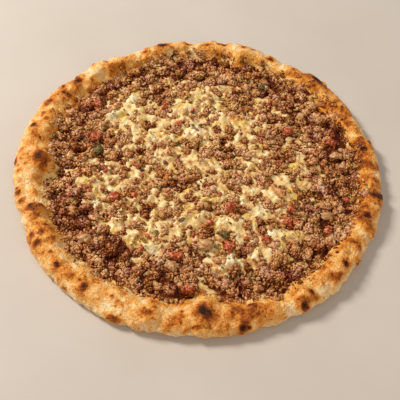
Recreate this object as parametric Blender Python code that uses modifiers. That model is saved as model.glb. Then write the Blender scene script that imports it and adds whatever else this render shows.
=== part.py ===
# Lahmacun: a round flatbread with a puffed, blistered rim, baked under a layer of minced meat
# with melted cheese, tomato, onion and green pepper sunk into it.
#
# Metres, +Z up. The flat underside lies on z = 0, and the bread's box is centred on the origin.
# Every uneven outline below is a function of the angle round the bread, anticlockwise from +X.

import math
from collections import namedtuple

import bmesh
import bpy
import numpy as np
from mathutils import Euler, Matrix, Vector

MM = 0.001

# Bread
BREAD_RADIUS = 149.6 * MM
FOOT_RADIUS = 124.2 * MM
BASE_THICKNESS = 4.5 * MM
RIM_HEIGHT = 13.2 * MM
WIDEST_HEIGHT = 5.0 * MM
CREST_SHARE = 0.52
TUCK = 8.0 * MM
STEPS_ROUND = 90

# Meat layer
GAP = 0.3 * MM
MEAT_HEIGHT = 9.2 * MM
MEAT_EDGE_HEIGHT = 8.0 * MM
MEAT_EDGE_WIDTH = 14.0 * MM
MEAT_OVERLAP_SHARE = 0.2

# Toppings sunk in the meat
CHEESE_DEPTH = 2.6 * MM
CHEESE_SIDES = 14
DICE_DEPTH = 2.8 * MM
DICE_RISE = 1.7 * MM

# One puffed bubble of the rim. turn is in degrees, the rest in millimetres: width is half the
# stretch of rim it fills, rise its height over the crest, reach how far it swells in over the
# meat, and swell how far it pushes the outline out. A negative value is a dent.
Bubble = namedtuple("Bubble", "turn width rise reach swell")
BUBBLES = (
    Bubble(276, 14, 4.6, 11.0, 0.4),
    Bubble(184, 16, 4.4, 13.0, 0.0),
    Bubble(132, 14, 3.2, 6.0, -0.4),
    Bubble(77, 10, 2.2, 7.0, -0.4),
    Bubble(288, 10, 1.6, 0.0, 0.2),
    Bubble(306, 10, 2.2, 0.0, -1.4),
    Bubble(259, 13, 2.4, 1.0, 0.6),
    Bubble(247, 10, 1.0, 4.0, 1.2),
    Bubble(237, 11, 2.2, 0.0, 1.0),
    Bubble(226, 10, 1.6, 0.0, 0.4),
    Bubble(216, 10, 1.4, 0.0, 0.0),
    Bubble(203, 10, 2.0, 1.0, -0.6),
    Bubble(166, 12, 1.8, 2.0, -1.0),
    Bubble(151, 10, 1.4, 0.0, 1.6),
    Bubble(106, 10, 1.6, 0.0, -1.0),
    Bubble(84, 9, 1.6, 0.0, -0.2),
    Bubble(47, 14, 2.4, 2.0, 0.4),
    Bubble(35, 10, 1.8, 2.0, 0.0),
    Bubble(15, 10, 1.4, 0.0, 0.6),
    Bubble(344, 12, 2.0, 1.5, 0.4),
    Bubble(324, 13, 1.8, 0.0, -0.4),
    Bubble(301, 10, -1.4, -8.0, 0.0),
    Bubble(11, 10, -0.6, -5.0, 0.0),
    Bubble(267, 8, -1.4, -2.0, -0.6),
    Bubble(120, 9, -1.6, -2.0, -2.6),
    Bubble(141, 8, -1.0, 0.0, -2.6),
    Bubble(62, 13, -1.0, 0.0, -1.2),
    Bubble(193, 8, -1.4, -1.0, -0.8),
)

# Slow waves of the outline, the meat's edge and the crest: (waves round the bread, mm, degrees)
OUTLINE_WAVES = ((4, 0.8, 61), (5, 0.7, -100), (8, 0.4, 41), (12, 0.4, -168))
FOOT_WAVES = ((1, 3.0, -50), (3, 0.9, 20), (7, 0.8, 80), (11, 0.5, 150))
CREST_WAVES = ((3, 0.5, 200), (8, 0.5, 30), (13, 0.4, 110))

# A topping piece: its middle, length and width in millimetres, and its turn in degrees
Piece = namedtuple("Piece", "x y length width turn")
CHEESE = (
    Piece(64, -79, 25, 13, -12),
    Piece(31, -88, 17, 11, 5),
    Piece(34, -53, 20, 11, -5),
    Piece(-6, -55, 15, 8, 15),
    Piece(-78, 51, 13, 9, -60),
    Piece(-56, 56, 16, 10, -35),
    Piece(-33, 31, 14, 11, 0),
    Piece(-4, 42, 10, 8, 60),
    Piece(27, 57, 14, 10, 10),
    Piece(-10, 79, 20, 12, -15),
    Piece(-91, -26, 16, 12, -60),
    Piece(-95, -10, 9, 8, 0),
    Piece(-40, -70, 16, 13, 50),
    Piece(9, -27, 11, 9, 0),
    Piece(67, -19, 14, 10, 70),
    Piece(52, -35, 10, 8, 80),
    Piece(70, -60, 13, 8, 80),
    Piece(45, 17, 13, 9, 0),
    Piece(92, 28, 13, 8, -10),
    Piece(-3, 2, 15, 8, 10),
    Piece(-30, 12, 13, 10, 30),
    Piece(-64, 73, 12, 9, 0),
    Piece(31, 108, 12, 9, 60),
    Piece(-27, -83, 13, 8, 20),
)
TOMATO = (
    Piece(75, -37, 8, 7, 20),
    Piece(27, -76, 9, 8, 5),
    Piece(27, -39, 8, 7, 40),
    Piece(56, -67, 8, 6, 15),
    Piece(73, -49, 8, 6, -10),
    Piece(104, -54, 9, 6, 60),
    Piece(-1, -114, 8, 6, 10),
    Piece(-65, -37, 9, 7, 70),
    Piece(-12, -87, 12, 7, -8),
    Piece(-91, 61, 9, 7, -50),
    Piece(-33, 62, 9, 6, 80),
    Piece(-19, 44, 7, 6, 30),
    Piece(74, 44, 8, 6, 25),
    Piece(110, 36, 8, 6, -20),
    Piece(-88, 23, 9, 7, 15),
)
ONION = (
    Piece(-15, -97, 10, 7, -10),
    Piece(9, -76, 10, 8, 20),
    Piece(-82, -78, 9, 6, 0),
    Piece(104, -41, 10, 6, 15),
    Piece(85, 63, 8, 6, 70),
    Piece(101, 60, 8, 6, 60),
    Piece(114, 22, 9, 6, 10),
)
PEPPER = (
    Piece(24, -66, 8, 5, -20),
    Piece(52, 95, 8, 5, 70),
    Piece(-84, 9, 8, 6, 60),
)

COLORS = {
    "bread": (0.60, 0.33, 0.12),
    "minced_meat": (0.16, 0.07, 0.035),
    "cheese": (0.80, 0.62, 0.30),
    "tomato": (0.55, 0.09, 0.04),
    "onion": (0.62, 0.42, 0.26),
    "pepper": (0.10, 0.12, 0.03),
}


def bell(angle, bubble):
    """1 at the bubble's middle, exp(-d^2) at d widths from it along the rim."""
    apart = (angle - math.radians(bubble.turn) + math.pi) % (2 * math.pi) - math.pi
    return np.exp(-(apart * BREAD_RADIUS / (bubble.width * MM)) ** 2)


def waves(angle, terms):
    """Sum of size * cos(count * angle + shift)."""
    return sum(size * MM * np.cos(count * angle + math.radians(shift)) for count, size, shift in terms)


def outline_radius(angle):
    """Distance from the middle to the bread's widest edge."""
    swell = sum(bubble.swell * MM * bell(angle, bubble) for bubble in BUBBLES)
    return BREAD_RADIUS + waves(angle, OUTLINE_WAVES) + swell


def foot_radius(angle):
    """Distance from the middle to where the rim starts to rise."""
    reach = sum(bubble.reach * MM * bell(angle, bubble) for bubble in BUBBLES)
    return FOOT_RADIUS + waves(angle, FOOT_WAVES) - reach


def crest_height(angle):
    """Height of the top of the rim over the table."""
    rise = sum(bubble.rise * MM * bell(angle, bubble) for bubble in BUBBLES)
    return RIM_HEIGHT + waves(angle, CREST_WAVES) + rise


def rim_height(share):
    """Height across an even rim: half a cosine wave up to the crest, a quarter ellipse down."""
    up = (1 - np.cos(np.pi * np.minimum(share / CREST_SHARE, 1))) / 2
    across = np.clip((share - CREST_SHARE) / (1 - CREST_SHARE), 0, 1)
    down = np.sqrt(1 - across**2)
    inner = BASE_THICKNESS + (RIM_HEIGHT - BASE_THICKNESS) * up
    outer = WIDEST_HEIGHT + (RIM_HEIGHT - WIDEST_HEIGHT) * down
    return np.where(share < CREST_SHARE, inner, outer)


def even_radius(share):
    """Radius of an even bread at a share of the way across its rim."""
    return FOOT_RADIUS + share * (BREAD_RADIUS - FOOT_RADIUS)


def meat_top(x, y, to_edge):
    """Height of the meat: broad waves, falling off near its edge over the rim's foot."""
    height = 0
    for count in range(5):
        direction = count * 2.4
        wavelength = (23 + 6 * count) * MM
        along = x * math.cos(direction) + y * math.sin(direction)
        height = height + 0.35 * MM * np.sin(2 * math.pi * along / wavelength + count)
    inside = np.clip(to_edge / MEAT_EDGE_WIDTH, 0, 1)
    inside = inside * (2 - inside)
    return MEAT_EDGE_HEIGHT + (MEAT_HEIGHT - MEAT_EDGE_HEIGHT + height) * inside


def get_points(mesh):
    """The mesh's vertices as an array of rows."""
    flat = np.empty(3 * len(mesh.vertices))
    mesh.vertices.foreach_get("co", flat)
    return flat.reshape(-1, 3)


def set_points(mesh, points):
    """Moves the mesh's vertices to the rows of an array."""
    mesh.vertices.foreach_set("co", points.ravel())
    mesh.update()


def material(name):
    """A Principled material in the named colour."""
    surface = bpy.data.materials.new(name)
    surface.use_nodes = True
    shader = surface.node_tree.nodes["Principled BSDF"]
    shader.inputs["Base Color"].default_value = (*COLORS[name], 1)
    shader.inputs["Roughness"].default_value = 0.6
    shader.inputs["Metallic"].default_value = 0
    return surface


def add_object(name, mesh, collection, surface=None):
    """Links a mesh to the collection as a named object."""
    part = bpy.data.objects.new(name, mesh)
    collection.objects.link(part)
    if surface:
        mesh.materials.append(surface)
    return part


def turned_mesh(name, profile, collection):
    """Turns a profile of (radius, height) about Z and returns the closed mesh."""
    line = bpy.data.meshes.new(name)
    edges = [(index, index + 1) for index in range(len(profile) - 1)]
    line.from_pydata([(radius, 0, height) for radius, height in profile], edges, [])
    lathe = add_object(name, line, collection)
    screw = lathe.modifiers.new("turn", "SCREW")
    screw.axis = "Z"
    screw.steps = STEPS_ROUND
    screw.render_steps = STEPS_ROUND
    screw.use_merge_vertices = True
    screw.merge_threshold = 0.0001
    seen = lathe.evaluated_get(bpy.context.evaluated_depsgraph_get())
    mesh = bpy.data.meshes.new_from_object(seen)
    bpy.data.objects.remove(lathe)
    bpy.data.meshes.remove(line)
    mesh.name = name
    return mesh


def fit_to_outline(points):
    """Moves the points of an even bread in or out, so that foot and edge follow their outlines."""
    angle = np.arctan2(points[:, 1], points[:, 0])
    radius = np.hypot(points[:, 0], points[:, 1])
    share = (radius - FOOT_RADIUS) / (BREAD_RADIUS - FOOT_RADIUS)
    foot = foot_radius(angle)
    inner = radius * foot / FOOT_RADIUS
    outer = foot + share * (outline_radius(angle) - foot)
    return angle, share, np.where(share > 0, outer, inner)


def fit_rim(height, angle):
    """Raises what stands above the base so that the even crest meets the true one."""
    lift = (crest_height(angle) - BASE_THICKNESS) / (RIM_HEIGHT - BASE_THICKNESS)
    return np.where(height > BASE_THICKNESS, BASE_THICKNESS + (height - BASE_THICKNESS) * lift, height)


def box_middle():
    """Middle of the box round the bread's outline."""
    angle = np.arange(STEPS_ROUND) * 2 * math.pi / STEPS_ROUND
    x = outline_radius(angle) * np.cos(angle)
    y = outline_radius(angle) * np.sin(angle)
    return (x.max() + x.min()) / 2, (y.max() + y.min()) / 2


def from_polar(angle, radius, height):
    """Rows of x, y, z with the bread's box centred on the origin."""
    middle = box_middle()
    x = radius * np.cos(angle) - middle[0]
    y = radius * np.sin(angle) - middle[1]
    return np.stack([x, y, height], axis=1)


def build_bread(collection):
    """Turns an even bread, then gives its outline, foot and crest their bubbles and waves."""
    shares = (0, 0.1, MEAT_OVERLAP_SHARE, 0.34, CREST_SHARE, 0.7, 0.85, 0.96, 1)
    profile = [(0, BASE_THICKNESS), (FOOT_RADIUS / 2, BASE_THICKNESS)]
    profile += [(even_radius(share), float(rim_height(share))) for share in shares]
    profile += [(BREAD_RADIUS - 0.25 * TUCK, 0.3 * WIDEST_HEIGHT), (BREAD_RADIUS - TUCK, 0), (0, 0)]
    mesh = turned_mesh("bread", profile, collection)
    points = get_points(mesh)
    angle, share, radius = fit_to_outline(points)
    height = fit_rim(points[:, 2], angle)
    set_points(mesh, from_polar(angle, radius, height))
    bread = add_object("bread", mesh, collection, material("bread"))
    mesh.shade_smooth()
    return bread


def build_meat(collection):
    """The meat layer: it lies a gap above the bread, laps the rim's foot and has a wavy top."""
    under = (0.0, 0.1, MEAT_OVERLAP_SHARE)
    lip = even_radius(MEAT_OVERLAP_SHARE)
    rings = (0.985, 0.92, 0.82, 0.7, 0.57, 0.43, 0.29, 0.15)
    profile = [(0, MEAT_HEIGHT)]
    profile += [(ring * lip, MEAT_HEIGHT) for ring in reversed(rings)]
    profile += [(even_radius(share), float(rim_height(share)) + GAP) for share in reversed(under)]
    profile += [(FOOT_RADIUS / 2, BASE_THICKNESS + GAP), (0, BASE_THICKNESS + GAP)]
    mesh = turned_mesh("minced_meat", profile, collection)
    points = get_points(mesh)
    angle, share, radius = fit_to_outline(points)
    is_top = points[:, 2] > MEAT_HEIGHT - GAP
    underside = fit_rim(points[:, 2] - GAP, angle) + GAP
    flat = from_polar(angle, radius, underside)
    foot = foot_radius(angle)
    edge = foot + MEAT_OVERLAP_SHARE * (outline_radius(angle) - foot)
    top = meat_top(flat[:, 0], flat[:, 1], edge - radius)
    flat[:, 2] = np.where(is_top, top, underside)
    set_points(mesh, flat)
    meat = add_object("minced_meat", mesh, collection, material("minced_meat"))
    mesh.shade_smooth()
    return meat


def top_at(piece):
    """Height of the meat at a topping piece."""
    x = piece.x * MM
    y = piece.y * MM
    to_edge = even_radius(MEAT_OVERLAP_SHARE) - math.hypot(x, y)
    return float(meat_top(x, y, to_edge))


def wobble(angle, seed):
    """Uneven outline of a melted pool, as a factor on its half length and width."""
    return (
        1
        + 0.10 * np.cos(2 * angle + 2.4 * seed)
        + 0.09 * np.cos(3 * angle + 1.7 * seed)
        + 0.06 * np.cos(5 * angle + 3.1 * seed)
    )


def cheese_mesh(name, piece, seed, grow=0.0, rise=0.0):
    """A melted pool: an uneven disc with a softened top edge and a low domed top.

    grow widens and deepens it and rise lifts its top, which makes the pocket that it lies in.
    """
    low = -CHEESE_DEPTH - grow
    high = 0.2 * MM + rise
    bm = bmesh.new()
    bmesh.ops.create_cone(bm, cap_ends=True, segments=CHEESE_SIDES, radius1=1, radius2=1, depth=high - low)
    for vert in bm.verts:
        angle = math.atan2(vert.co.y, vert.co.x)
        factor = float(wobble(angle, seed))
        vert.co.x *= factor * piece.length / 2 * MM + grow
        vert.co.y *= factor * piece.width / 2 * MM + grow
        vert.co.z += (high + low) / 2
    if rise == 0:
        bm.edges.ensure_lookup_table()
        rim = [edge for edge in bm.edges if all(vert.co.z > 0 for vert in edge.verts)]
        bmesh.ops.bevel(bm, geom=rim, offset=0.7 * MM, segments=1, profile=0.5, affect="EDGES")
        bm.faces.ensure_lookup_table()
        top = max(bm.faces, key=lambda face: face.calc_center_median().z)
        poked = bmesh.ops.poke(bm, faces=[top])
        for vert in poked["verts"]:
            vert.co.z += 0.4 * MM
    return placed_mesh(name, bm, piece)


def dice_mesh(name, piece, seed, grow=0.0, rise=0.0):
    """A cut cube of vegetable: a skewed block with softened edges, tipped a little.

    grow widens and deepens it and rise lifts its top, which makes the pocket that it lies in.
    """
    low = -DICE_DEPTH - grow
    high = DICE_RISE + rise
    bm = bmesh.new()
    bmesh.ops.create_cube(bm, size=2)
    for vert in bm.verts:
        corner = math.copysign(1, vert.co.x) + 2 * math.copysign(1, vert.co.y)
        skew = 1 + 0.09 * math.sin(2.1 * seed + 1.3 * corner)
        vert.co.x *= (piece.length / 2 * skew) * MM + grow
        vert.co.y *= (piece.width / 2 / skew) * MM + grow
        vert.co.z = high if vert.co.z > 0 else low
    if rise == 0:
        bmesh.ops.bevel(bm, geom=list(bm.edges), offset=0.9 * MM, segments=1, profile=0.5, affect="EDGES")
    tip = Euler((0.12 * math.sin(3.7 * seed), 0.12 * math.cos(2.9 * seed), 0)).to_matrix()
    bmesh.ops.rotate(bm, cent=(0, 0, 0), matrix=tip, verts=bm.verts)
    return placed_mesh(name, bm, piece)


def placed_mesh(name, bm, piece):
    """Turns a piece's shape, sets it into the meat and returns it as a mesh."""
    turn = Matrix.Rotation(math.radians(piece.turn), 3, "Z")
    bmesh.ops.rotate(bm, cent=(0, 0, 0), matrix=turn, verts=bm.verts)
    bmesh.ops.translate(bm, vec=Vector((piece.x * MM, piece.y * MM, top_at(piece))), verts=bm.verts)
    mesh = bpy.data.meshes.new(name)
    bm.to_mesh(mesh)
    bm.free()
    return mesh


def build_toppings(collection):
    """Each cheese pool and vegetable piece as an object; returns the pockets they need."""
    kinds = (
        ("cheese", CHEESE, cheese_mesh),
        ("tomato", TOMATO, dice_mesh),
        ("onion", ONION, dice_mesh),
        ("pepper", PEPPER, dice_mesh),
    )
    pockets = []
    for kind, pieces, shape in kinds:
        surface = material(kind)
        for seed, piece in enumerate(pieces, start=1):
            name = f"{kind}_{seed:02d}"
            add_object(name, shape(name, piece, seed), collection, surface)
            pockets.append(shape(f"pocket_{name}", piece, seed, grow=GAP, rise=6 * MM))
    return pockets


def cut_pockets(meat, pockets, cutters):
    """Cuts the pockets out of the meat with one Boolean."""
    bm = bmesh.new()
    for pocket in pockets:
        bm.from_mesh(pocket)
        bpy.data.meshes.remove(pocket)
    mesh = bpy.data.meshes.new("pockets")
    bm.to_mesh(mesh)
    bm.free()
    cutter = add_object("pockets", mesh, cutters)
    cutter.hide_render = True
    cutter.display_type = "WIRE"
    cut = meat.modifiers.new("pockets", "BOOLEAN")
    cut.operation = "DIFFERENCE"
    cut.solver = "EXACT"
    cut.object = cutter


def main():
    for old in list(bpy.data.objects):
        bpy.data.objects.remove(old)
    parts = bpy.data.collections.new("lahmacun")
    cutters = bpy.data.collections.new("cutters")
    bpy.context.scene.collection.children.link(parts)
    bpy.context.scene.collection.children.link(cutters)
    build_bread(parts)
    meat = build_meat(parts)
    pockets = build_toppings(parts)
    cut_pockets(meat, pockets, cutters)


main()
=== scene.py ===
# %% [markdown]
# # A lahmacun with minced meat and melted cheese
#
# A lahmacun is a round flatbread. A baker stretches the dough, leaves its edge thick so that
# the oven puffs it into a blistered rim, spreads minced meat over the middle, adds cheese,
# tomato, onion and pepper, and bakes it until the rim chars in spots. This lesson makes the
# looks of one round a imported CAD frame: fine surfaces for the bread and the cheese, thousands
# of real crumbs for the meat, and materials that start from what each food is.

# %% Load the frame
import math
from collections import namedtuple

import bpy
import numpy as np
from mathutils import Matrix, Vector


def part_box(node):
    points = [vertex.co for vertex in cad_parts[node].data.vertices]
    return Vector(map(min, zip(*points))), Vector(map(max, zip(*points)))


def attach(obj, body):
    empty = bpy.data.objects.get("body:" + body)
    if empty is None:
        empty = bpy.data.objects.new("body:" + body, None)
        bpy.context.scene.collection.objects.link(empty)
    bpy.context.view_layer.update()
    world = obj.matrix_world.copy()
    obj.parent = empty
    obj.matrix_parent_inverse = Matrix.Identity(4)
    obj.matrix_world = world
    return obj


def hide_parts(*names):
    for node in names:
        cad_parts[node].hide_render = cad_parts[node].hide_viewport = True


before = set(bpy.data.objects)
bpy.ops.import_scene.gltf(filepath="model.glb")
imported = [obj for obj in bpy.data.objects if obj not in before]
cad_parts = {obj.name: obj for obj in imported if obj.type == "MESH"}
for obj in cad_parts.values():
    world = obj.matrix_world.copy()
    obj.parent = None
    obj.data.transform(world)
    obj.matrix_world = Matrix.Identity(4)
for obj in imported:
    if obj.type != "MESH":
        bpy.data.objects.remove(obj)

MM = 0.001
TURN = 2 * math.pi
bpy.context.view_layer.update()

# %% [markdown]
# ## Tools for surfaces
#
# Every new piece is a set of points worked out as whole arrays. A closed surface is a grid of
# rows that run round the piece, with one point at each end that closes it. Blender's mesh
# takes the arrays directly, which is much quicker than a loop over its vertices.


# %% Make a mesh from arrays
def signed_volume(points, triangles):
    """Volume inside the triangles: the sum of a . (b x c) / 6. Negative if they face inwards."""
    a, b, c = (points[triangles[:, corner]] for corner in range(3))
    return float(np.einsum("ij,ij->i", a, np.cross(b, c)).sum() / 6)


def make_piece(name, points, faces, numbers=None, facets=False):
    """Makes an object from points and a list of face arrays (quads or triangles).

    numbers are attributes by name, one value a point. With facets it is shaded flat, not smooth.
    """
    triangles = np.concatenate([face[:, [0, k, k + 1]] for face in faces for k in range(1, face.shape[1] - 1)])
    flip = signed_volume(points, triangles) < 0
    corners = []
    for face in faces:
        corners.append((face[:, ::-1] if flip else face).ravel())
    corners = np.concatenate(corners)
    counts = np.concatenate([np.full(len(face), face.shape[1]) for face in faces])
    mesh = bpy.data.meshes.new(name)
    mesh.vertices.add(len(points))
    mesh.vertices.foreach_set("co", points.astype(np.float32).ravel())
    mesh.loops.add(len(corners))
    mesh.loops.foreach_set("vertex_index", corners.astype(np.int32))
    mesh.polygons.add(len(counts))
    mesh.polygons.foreach_set("loop_start", (np.cumsum(counts) - counts).astype(np.int32))
    mesh.update(calc_edges=True)
    mesh.validate()
    if not facets:
        mesh.shade_smooth()
    for key, values in (numbers or {}).items():
        layer = mesh.attributes.new(key, "FLOAT", "POINT")
        layer.data.foreach_set("value", values.astype(np.float32).ravel())
    piece = bpy.data.objects.new(name, mesh)
    bpy.context.scene.collection.objects.link(piece)
    print(f"{name}: {len(points)} points, {len(triangles)} triangles")
    return piece


def ring_faces(rows, around):
    """Faces of a closed grid: rows of points round the piece, then its first and last end point."""
    row, column = np.meshgrid(np.arange(rows - 1), np.arange(around), indexing="ij")
    here = row * around + column
    beside = row * around + (column + 1) % around
    quads = np.stack([here, beside, beside + around, here + around], axis=-1).reshape(-1, 4)
    edge = np.arange(around)
    following = (edge + 1) % around
    first = np.stack([np.full(around, rows * around), following, edge], axis=1)
    last_row = (rows - 1) * around
    last = np.stack([np.full(around, rows * around + 1), last_row + edge, last_row + following], axis=1)
    return quads, np.concatenate([first, last])


# %% [markdown]
# Food is uneven at every scale. A cloud of smooth random values gives that: a random slope
# sits at each corner of a lattice, and the value between corners is blended from them. The
# random slopes come from whole-number arithmetic, so they are the same on every run.


# %% Make smooth random clouds
def hashed(cell, seed):
    """A repeatable random number from -1 to 1 for each whole-number cell of space."""
    mixed = cell[..., 0] * 73856093 ^ cell[..., 1] * 19349663 ^ cell[..., 2] * 83492791
    mixed = (mixed ^ (seed * 40503 + 12345)) & 0xFFFFFFFF
    for _ in range(2):
        mixed = ((mixed ^ (mixed >> 15)) * 0x2C1B3C6D) & 0xFFFFFFFF
        mixed = ((mixed ^ (mixed >> 12)) * 0x297A2D39) & 0xFFFFFFFF
    return (mixed ^ (mixed >> 15)) / 0x7FFFFFFF - 1


def one_cloud(points, size, seed):
    """Gradient noise: slopes at lattice corners `size` apart, blended by 3t^2 - 2t^3."""
    spot = points / size
    cell = np.floor(spot).astype(np.int64)
    within = spot - cell
    blend = within * within * (3 - 2 * within)
    total = np.zeros(points.shape[:-1])
    for corner in np.ndindex(2, 2, 2):
        offset = np.array(corner)
        away = within - offset
        value = sum(hashed(cell + offset, seed + 7 * axis) * away[..., axis] for axis in range(3))
        share = np.where(offset, blend, 1 - blend).prod(axis=-1)
        total += share * value
    return total * 1.6


def cloud(points, size, seed, octaves=2):
    """Clouds summed, each half as large and half as strong as the one before; about -1 to 1."""
    total = sum(one_cloud(points, size / 2**k, seed + 31 * k) / 2**k for k in range(octaves))
    return total / (2 - 2 ** (1 - octaves)) * 1.2


def nearest_seed(x, y, size, seed):
    """Distance to the nearest seed in cell widths, with that seed's own random number."""
    cell = np.stack([np.floor(x / size), np.floor(y / size)], axis=-1).astype(np.int64)
    best = np.full(np.shape(x), 9.0)
    own = np.zeros(np.shape(x))
    for step in np.ndindex(3, 3):
        other = cell + np.array(step) - 1
        corner = np.concatenate([other, np.zeros_like(other[..., :1])], axis=-1)
        away_x = other[..., 0] + 0.5 + 0.42 * hashed(corner, seed) - x / size
        away_y = other[..., 1] + 0.5 + 0.42 * hashed(corner, seed + 1) - y / size
        away = np.hypot(away_x, away_y)
        own = np.where(away < best, hashed(corner, seed + 2), own)
        best = np.minimum(best, away)
    return best, own


def flat_cloud(x, y, size, seed, octaves=2):
    """A cloud read on the table plane."""
    return cloud(np.stack([x, y, np.zeros_like(x)], axis=-1), size, seed, octaves)


def smooth(low, high, value):
    """0 below low, 1 above high, and 3t^2 - 2t^3 in between."""
    t = np.clip((value - low) / (high - low), 0, 1)
    return t * t * (3 - 2 * t)


# %% [markdown]
# ## Tools for materials
#
# A colour is written as the hex value that a screen shows, and Blender's shaders work in
# linear light, so one function turns one into the other. A second small function adds any
# node with its settings and links.


# %% Colours and nodes
def linear(hex_value):
    """An sRGB hex colour as linear red, green, blue and alpha."""
    parts = [int(hex_value[k : k + 2], 16) / 255 for k in (0, 2, 4)]
    return (*[c / 12.92 if c <= 0.04045 else ((c + 0.055) / 1.055) ** 2.4 for c in parts], 1.0)


def add(tree, kind, inputs=None, **settings):
    """Adds a shader node, sets its properties, and sets or links its inputs."""
    made = tree.nodes.new("ShaderNode" + kind)
    for key, value in settings.items():
        setattr(made, key, value)
    for key, value in (inputs or {}).items():
        if isinstance(value, bpy.types.NodeSocket):
            tree.links.new(value, made.inputs[key])
        else:
            made.inputs[key].default_value = value
    return made


def start_material(name):
    """A new material with its node tree and its Principled shader."""
    made = bpy.data.materials.new(name)
    made.use_nodes = True
    return made, made.node_tree, made.node_tree.nodes["Principled BSDF"]


# %% [markdown]
# ## The bread's form
#
# The frame's bread has a foot where its rim starts to rise, a crest, a widest edge, and a
# tucked underside. The same functions of the angle are used here, so that the fine crust lies
# on the frame. Each bubble of the rim is a bell curve that lifts the crest, swells in over the
# meat, and pushes the outline out.

# %% Outline, foot and crest of the bread
BREAD_RADIUS = 149.6 * MM
FOOT_RADIUS = 124.2 * MM
BASE_THICKNESS = 4.5 * MM
RIM_HEIGHT = 13.2 * MM
WIDEST_HEIGHT = 5.0 * MM
CREST_SHARE = 0.52
TUCK = 8.0 * MM

# turn is in degrees, the rest in millimetres
Bubble = namedtuple("Bubble", "turn width rise reach swell")
BUBBLES = (
    Bubble(276, 14, 4.6, 11.0, 0.4),
    Bubble(184, 16, 4.4, 13.0, 0.0),
    Bubble(132, 14, 3.2, 6.0, -0.4),
    Bubble(77, 10, 2.2, 7.0, -0.4),
    Bubble(288, 10, 1.6, 0.0, 0.2),
    Bubble(306, 10, 2.2, 0.0, -1.4),
    Bubble(259, 13, 2.4, 1.0, 0.6),
    Bubble(247, 10, 1.0, 4.0, 1.2),
    Bubble(237, 11, 2.2, 0.0, 1.0),
    Bubble(226, 10, 1.6, 0.0, 0.4),
    Bubble(216, 10, 1.4, 0.0, 0.0),
    Bubble(203, 10, 2.0, 1.0, -0.6),
    Bubble(166, 12, 1.8, 2.0, -1.0),
    Bubble(151, 10, 1.4, 0.0, 1.6),
    Bubble(106, 10, 1.6, 0.0, -1.0),
    Bubble(84, 9, 1.6, 0.0, -0.2),
    Bubble(47, 14, 2.4, 2.0, 0.4),
    Bubble(35, 10, 1.8, 2.0, 0.0),
    Bubble(15, 10, 1.4, 0.0, 0.6),
    Bubble(344, 12, 2.0, 1.5, 0.4),
    Bubble(324, 13, 1.8, 0.0, -0.4),
    Bubble(301, 10, -1.4, -8.0, 0.0),
    Bubble(11, 10, -0.6, -5.0, 0.0),
    Bubble(267, 8, -1.4, -2.0, -0.6),
    Bubble(120, 9, -1.6, -2.0, -2.6),
    Bubble(141, 8, -1.0, 0.0, -2.6),
    Bubble(62, 13, -1.0, 0.0, -1.2),
    Bubble(193, 8, -1.4, -1.0, -0.8),
)
OUTLINE_WAVES = ((4, 0.8, 61), (5, 0.7, -100), (8, 0.4, 41), (12, 0.4, -168))
FOOT_WAVES = ((1, 3.0, -50), (3, 0.9, 20), (7, 0.8, 80), (11, 0.5, 150))
CREST_WAVES = ((3, 0.5, 200), (8, 0.5, 30), (13, 0.4, 110))
# turn and width in degrees, then how much further up the rim the meat goes
LIP_CLIMBS = ((318, 18, 0.15), (163, 13, 0.16), (230, 28, 0.1))


def bell(angle, bubble):
    """1 at the bubble's middle, exp(-d^2) at d widths from it along the rim."""
    apart = (angle - math.radians(bubble.turn) + math.pi) % TURN - math.pi
    return np.exp(-((apart * BREAD_RADIUS / (bubble.width * MM)) ** 2))


def waves(angle, terms):
    """Sum of size * cos(count * angle + shift)."""
    return sum(size * MM * np.cos(count * angle + math.radians(shift)) for count, size, shift in terms)


def outline_radius(angle):
    """Distance from the middle to the bread's widest edge."""
    return BREAD_RADIUS + waves(angle, OUTLINE_WAVES) + sum(b.swell * MM * bell(angle, b) for b in BUBBLES)


def foot_radius(angle):
    """Distance from the middle to where the rim starts to rise."""
    return FOOT_RADIUS + waves(angle, FOOT_WAVES) - sum(b.reach * MM * bell(angle, b) for b in BUBBLES)


def crest_height(angle):
    """Height of the top of the rim over the table."""
    return RIM_HEIGHT + waves(angle, CREST_WAVES) + sum(b.rise * MM * bell(angle, b) for b in BUBBLES)


def rim_height(share, crest):
    """Height across the rim: half a cosine wave up to the crest, a quarter ellipse down."""
    up = (1 - np.cos(np.pi * np.clip(share / CREST_SHARE, 0, 1))) / 2
    across = np.clip((share - CREST_SHARE) / (1 - CREST_SHARE), 0, 1)
    inner = BASE_THICKNESS + (crest - BASE_THICKNESS) * up
    outer = WIDEST_HEIGHT + (crest - WIDEST_HEIGHT) * np.sqrt(1 - across**2)
    return np.where(share < CREST_SHARE, inner, outer)


def lip_radius(turn):
    """The meat's edge: some way up the rim, furthest on the far right, made ragged by a cloud."""
    foot = foot_radius(turn)
    ragged = flat_cloud(np.cos(turn) * 0.13, np.sin(turn) * 0.13, 11 * MM, 61)
    climb = 0.15 + 0.2 * smooth(-0.2, 0.9, np.cos(turn - math.radians(60)))
    for middle, width, more in LIP_CLIMBS:
        apart = (turn - math.radians(middle) + math.pi) % TURN - math.pi
        climb = climb + more * np.exp(-((apart / math.radians(width)) ** 2))
    return foot + climb * (outline_radius(turn) - foot) + 2.0 * MM * ragged


# %% [markdown]
# ## Crust
#
# The crust is one closed surface: rows run round the bread, from the middle of its top,
# across the rim, under the tuck and back to the middle of the underside. Rows are close
# together on the rim, where the eye goes, and far apart under the meat.

# %% Lay out the crust's rows
AROUND = 1040
angle = np.arange(AROUND) * TURN / AROUND
foot = foot_radius(angle)
edge = outline_radius(angle)
crest = crest_height(angle)

even_turn = np.arange(90) * TURN / 90
even_edge = outline_radius(even_turn)
even_outline = np.stack([even_edge * np.cos(even_turn), even_edge * np.sin(even_turn)], axis=1)
BOX_MIDDLE = (even_outline.max(0) + even_outline.min(0)) / 2

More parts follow.
